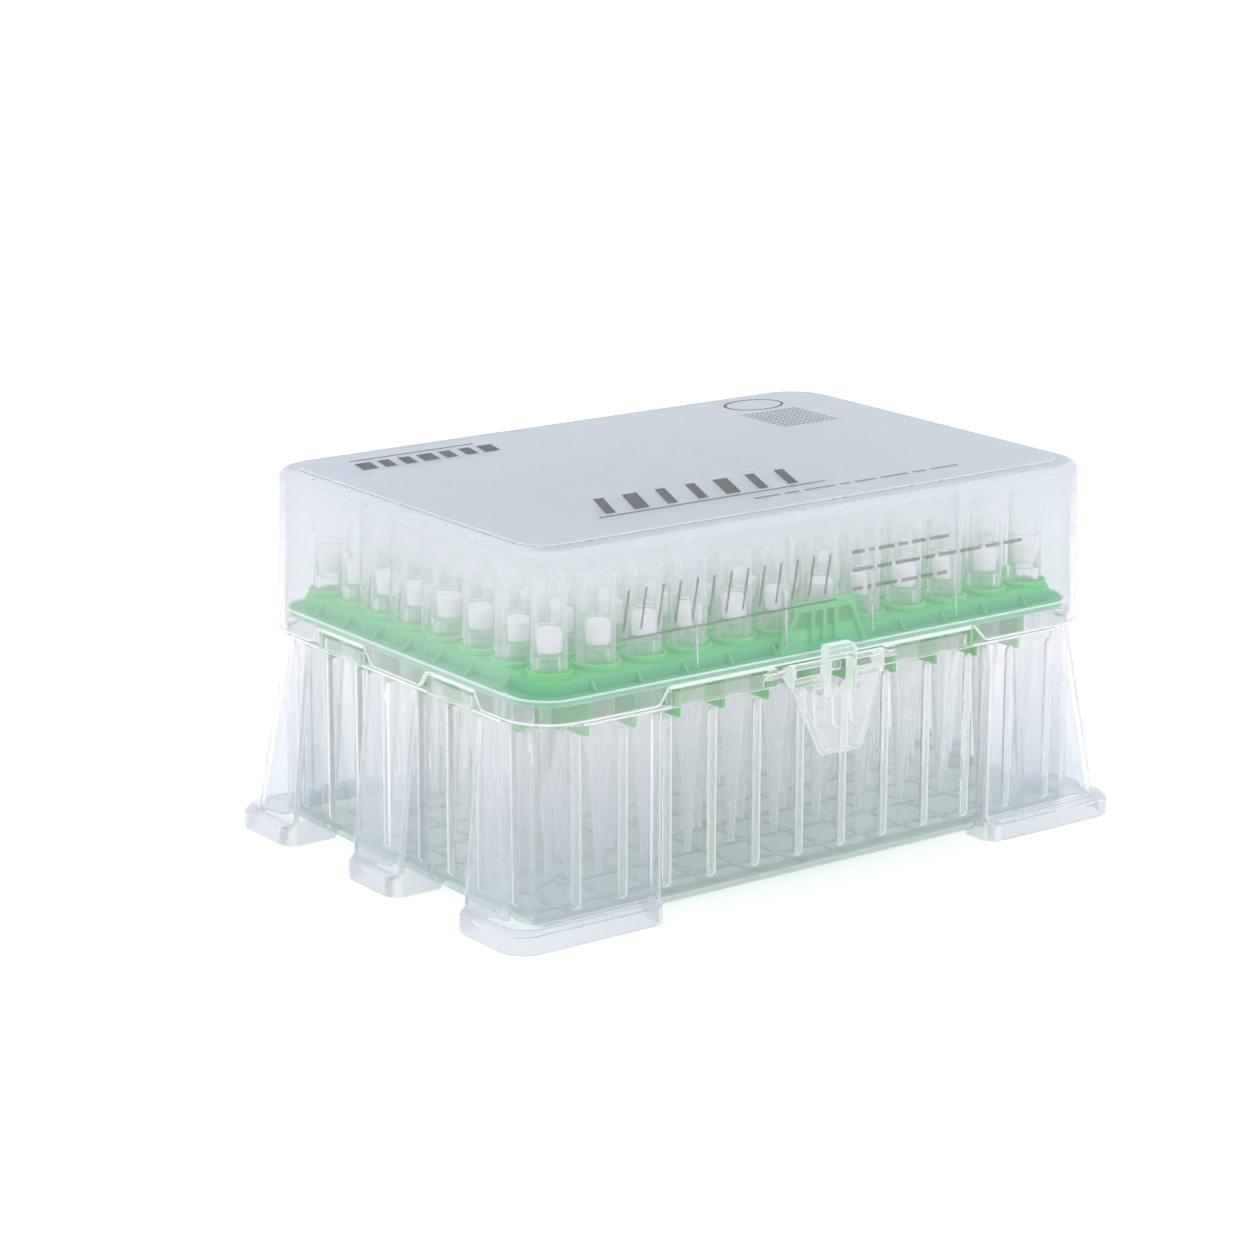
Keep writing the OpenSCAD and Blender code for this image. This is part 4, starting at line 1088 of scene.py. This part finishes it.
# painted highlight: a milkier, whiter haze on edge faces stands in for the bright lines that the edges catch
M_EDGE_HIGHLIGHT = clear_plastic("clear_edges_painted_highlight", [(0, (0.93, 0.93, 0.95)), (63, (0.95, 0.96, 0.965))], [(0, (0.78, 0.79, 0.85)), (30, (0.88, 0.89, 0.93)), (36, (0.95, 0.97, 0.97)), (63, (0.90, 0.93, 0.96))], [(0, 0.35), (30, 0.4), (35, 0.6), (63, 0.5)], 0.03, 0.35, (0.99, 0.99, 0.99))
M_LATCH = clear_plastic("clear_latch", [(20, (0.92, 0.925, 0.94)), (42, (0.93, 0.935, 0.95))], [(20, (0.80, 0.81, 0.86)), (42, (0.86, 0.87, 0.91))], [(20, 0.16), (34, 0.12), (42, 0.14)], 0.03, 0.4, (0.99, 0.99, 0.99), rim=(0.86, 0.87, 0.91))
# painted highlight: milky white haze for the latch's narrow sides and grip walls
M_GRIP_HIGHLIGHT = clear_plastic("clear_latch_sides_painted_highlight", [(20, (0.94, 0.94, 0.95)), (42, (0.94, 0.94, 0.95))], [(20, (0.92, 0.925, 0.95)), (42, (0.92, 0.93, 0.95))], [(20, 0.48), (34, 0.44), (42, 0.38)], 0.03, 0.4, (0.99, 0.99, 0.99))
# painted shade: the haze darkens towards the tips' lower ends, below the deck inside the base
M_TIP = clear_plastic("clear_tip", [(7, (0.975, 0.98, 0.98)), (58, (0.978, 0.978, 0.981))], [(7, (0.53, 0.585, 0.605)), (20, (0.61, 0.64, 0.67)), (30, (0.80, 0.79, 0.83)), (38, (0.79, 0.81, 0.83)), (50, (0.84, 0.88, 0.90)), (58, (0.84, 0.88, 0.90))],
                      [(7, 0.06), (30, 0.06), (38, 0.04), (46, 0.04), (51, 0.09), (58, 0.11)], 0.03, 0.5, (0.995, 0.996, 0.996), scale=500.0, bump=0.04)
# painted light and shade by height: lighter green on the block's top, the sockets and the tab's bar, darker on the
# walls, on the ribs below and across the middle of the tab
M_GREEN = solid_plastic("green_deck", [(31, (0.02, 0.44, 0.03)), (35.5, (0.03, 0.45, 0.06)), (38, (0.04, 0.50, 0.20)), (40.4, (0.04, 0.52, 0.20)), (41.1, (0.08, 0.60, 0.17)), (42.4, (0.095, 0.63, 0.15)), (43.2, (0.02, 0.37, 0.08)), (46, (0.02, 0.37, 0.08)), (47.2, (0.08, 0.56, 0.14))], 0.40, 260.0, 0.08, 0.0002, sss=0.2, radius=(0.5, 1.4, 0.6), spec=0.35, rise=True)
# painted highlight: the green for the tab's ridges and the deck's rounded edges
M_GREEN_HIGHLIGHT = solid_plastic("green_deck_painted_highlight", [(38, (0.055, 0.52, 0.14)), (48, (0.065, 0.55, 0.15))], 0.40, 260.0, 0.08, 0.0002, sss=0.2, radius=(0.5, 1.4, 0.6), spec=0.35, rise=True)
M_FILTER = solid_plastic("filter_white", [(0.3, (0.68, 0.675, 0.70)), (0.7, (0.76, 0.755, 0.78))], 0.8, 5200.0, 0.5, 0.00005, detail=2.0)
M_INK = printed_ink("print_grey", (0.07, 0.08, 0.095), (0.14, 0.15, 0.17), 2600.0, 0.8)
M_FINE = printed_ink("print_fine_grey", (0.18, 0.18, 0.18), (0.30, 0.30, 0.30), 3600.0, 0.45)

# ------------------------------------------------------------------
# The object
# ------------------------------------------------------------------
lid = build_lid([M_LID, M_TOP, M_EDGE_HIGHLIGHT, M_TOP_EDGE_SHADE, M_TOP_BAND])
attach(lid, "lid")
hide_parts("lid")
for p in build_prints(M_INK, M_FINE):
    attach(p, "lid")
base = build_base([M_BASE, M_THICK, M_PLATE_SHADOW, M_EDGE_HIGHLIGHT, M_SKIRT])
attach(base, "base")
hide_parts("base")
deck = build_deck([M_GREEN, M_GREEN_HIGHLIGHT])
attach(deck, "base")
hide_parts("tip_deck")
latch = build_latch([M_LATCH, M_GRIP_HIGHLIGHT])
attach(latch, "latch")
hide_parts("latch")
for j, letter in enumerate("abcdefgh"):
    t = build_tips(j, M_TIP)
    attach(t, "base")
    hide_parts("tips_row_" + letter)
    f = build_filters(j, M_FILTER)
    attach(f, "base")
    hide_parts("filters_row_" + letter)

# ------------------------------------------------------------------
# Floor, light and camera
# ------------------------------------------------------------------
bpy.ops.mesh.primitive_plane_add(size=14, location=(0, 0, 0))
floor = bpy.context.object
floor.name = "floor"
floor.data.materials.append(solid_plastic("floor_white", [(0.4, (0.945, 0.947, 0.95)), (0.6, (0.955, 0.957, 0.96))], 0.8, 2.0, 0.0, 0.0001, spec=0.0, glow=0.2))

world = bpy.data.worlds.new("studio")
bpy.context.scene.world = world
world.use_nodes = True
nt = world.node_tree
nt.nodes.clear()
w_out = nt.nodes.new("ShaderNodeOutputWorld")
w_bg = nt.nodes.new("ShaderNodeBackground")
w_tc = nt.nodes.new("ShaderNodeTexCoord")
w_sep = nt.nodes.new("ShaderNodeSeparateXYZ")
nt.links.new(w_tc.outputs["Generated"], w_sep.inputs[0])
nt.links.new(ramp_of(nt, w_sep.outputs["Z"], [(0.0, (0.945, 0.945, 0.965)), (0.35, (0.96, 0.965, 0.98)), (0.75, (1.0, 1.0, 1.0))]), w_bg.inputs["Color"])
w_bg.inputs["Strength"].default_value = 1.0
nt.links.new(w_bg.outputs[0], w_out.inputs[0])


def softbox(name, at, size, power, target=(0, 0, 0.03), colour=(1, 1, 1)):
    d = bpy.data.lights.new(name, "AREA")
    d.shape = "RECTANGLE"
    d.size, d.size_y = size
    d.energy = power
    d.color = colour
    o = bpy.data.objects.new(name, d)
    o.location = at
    o.rotation_euler = (Vector(target) - Vector(at)).to_track_quat("-Z", "Y").to_euler()
    bpy.context.scene.collection.objects.link(o)
    return o


softbox("key", (-0.5, -0.2, 1.1), (1.0, 0.8), 3.0)
softbox("fill", (0.8, -0.6, 0.6), (0.6, 0.8), 1.0)

yaw, pitch, roll = 0.635625446, 0.261203506, -0.00319219688
fwd = Vector((math.cos(pitch) * math.sin(yaw), math.cos(pitch) * math.cos(yaw), -math.sin(pitch)))
level = Vector((math.cos(yaw), -math.sin(yaw), 0))
below = fwd.cross(level)
right = level * math.cos(roll) + below * math.sin(roll)
down = below * math.cos(roll) - level * math.sin(roll)
cam_data = bpy.data.cameras.new("camera")
cam_data.sensor_width = 36.0
cam_data.lens = 36.0 * 3664.20845 / 1250.0
cam = bpy.data.objects.new("camera", cam_data)
bpy.context.scene.collection.objects.link(cam)
m = Matrix.Identity(4)
for i in range(3):
    m[i][0], m[i][1], m[i][2] = right[i], -down[i], -fwd[i]
m[0][3], m[1][3], m[2][3] = -0.366488, -0.481006, 0.196195
cam.matrix_world = m
bpy.context.scene.camera = cam

scene = bpy.context.scene
scene.view_settings.view_transform = "Standard"
scene.cycles.max_bounces = 28
scene.cycles.transmission_bounces = 24
scene.cycles.transparent_max_bounces = 48
scene.cycles.diffuse_bounces = 3
scene.cycles.glossy_bounces = 20
scene.cycles.use_denoising = True
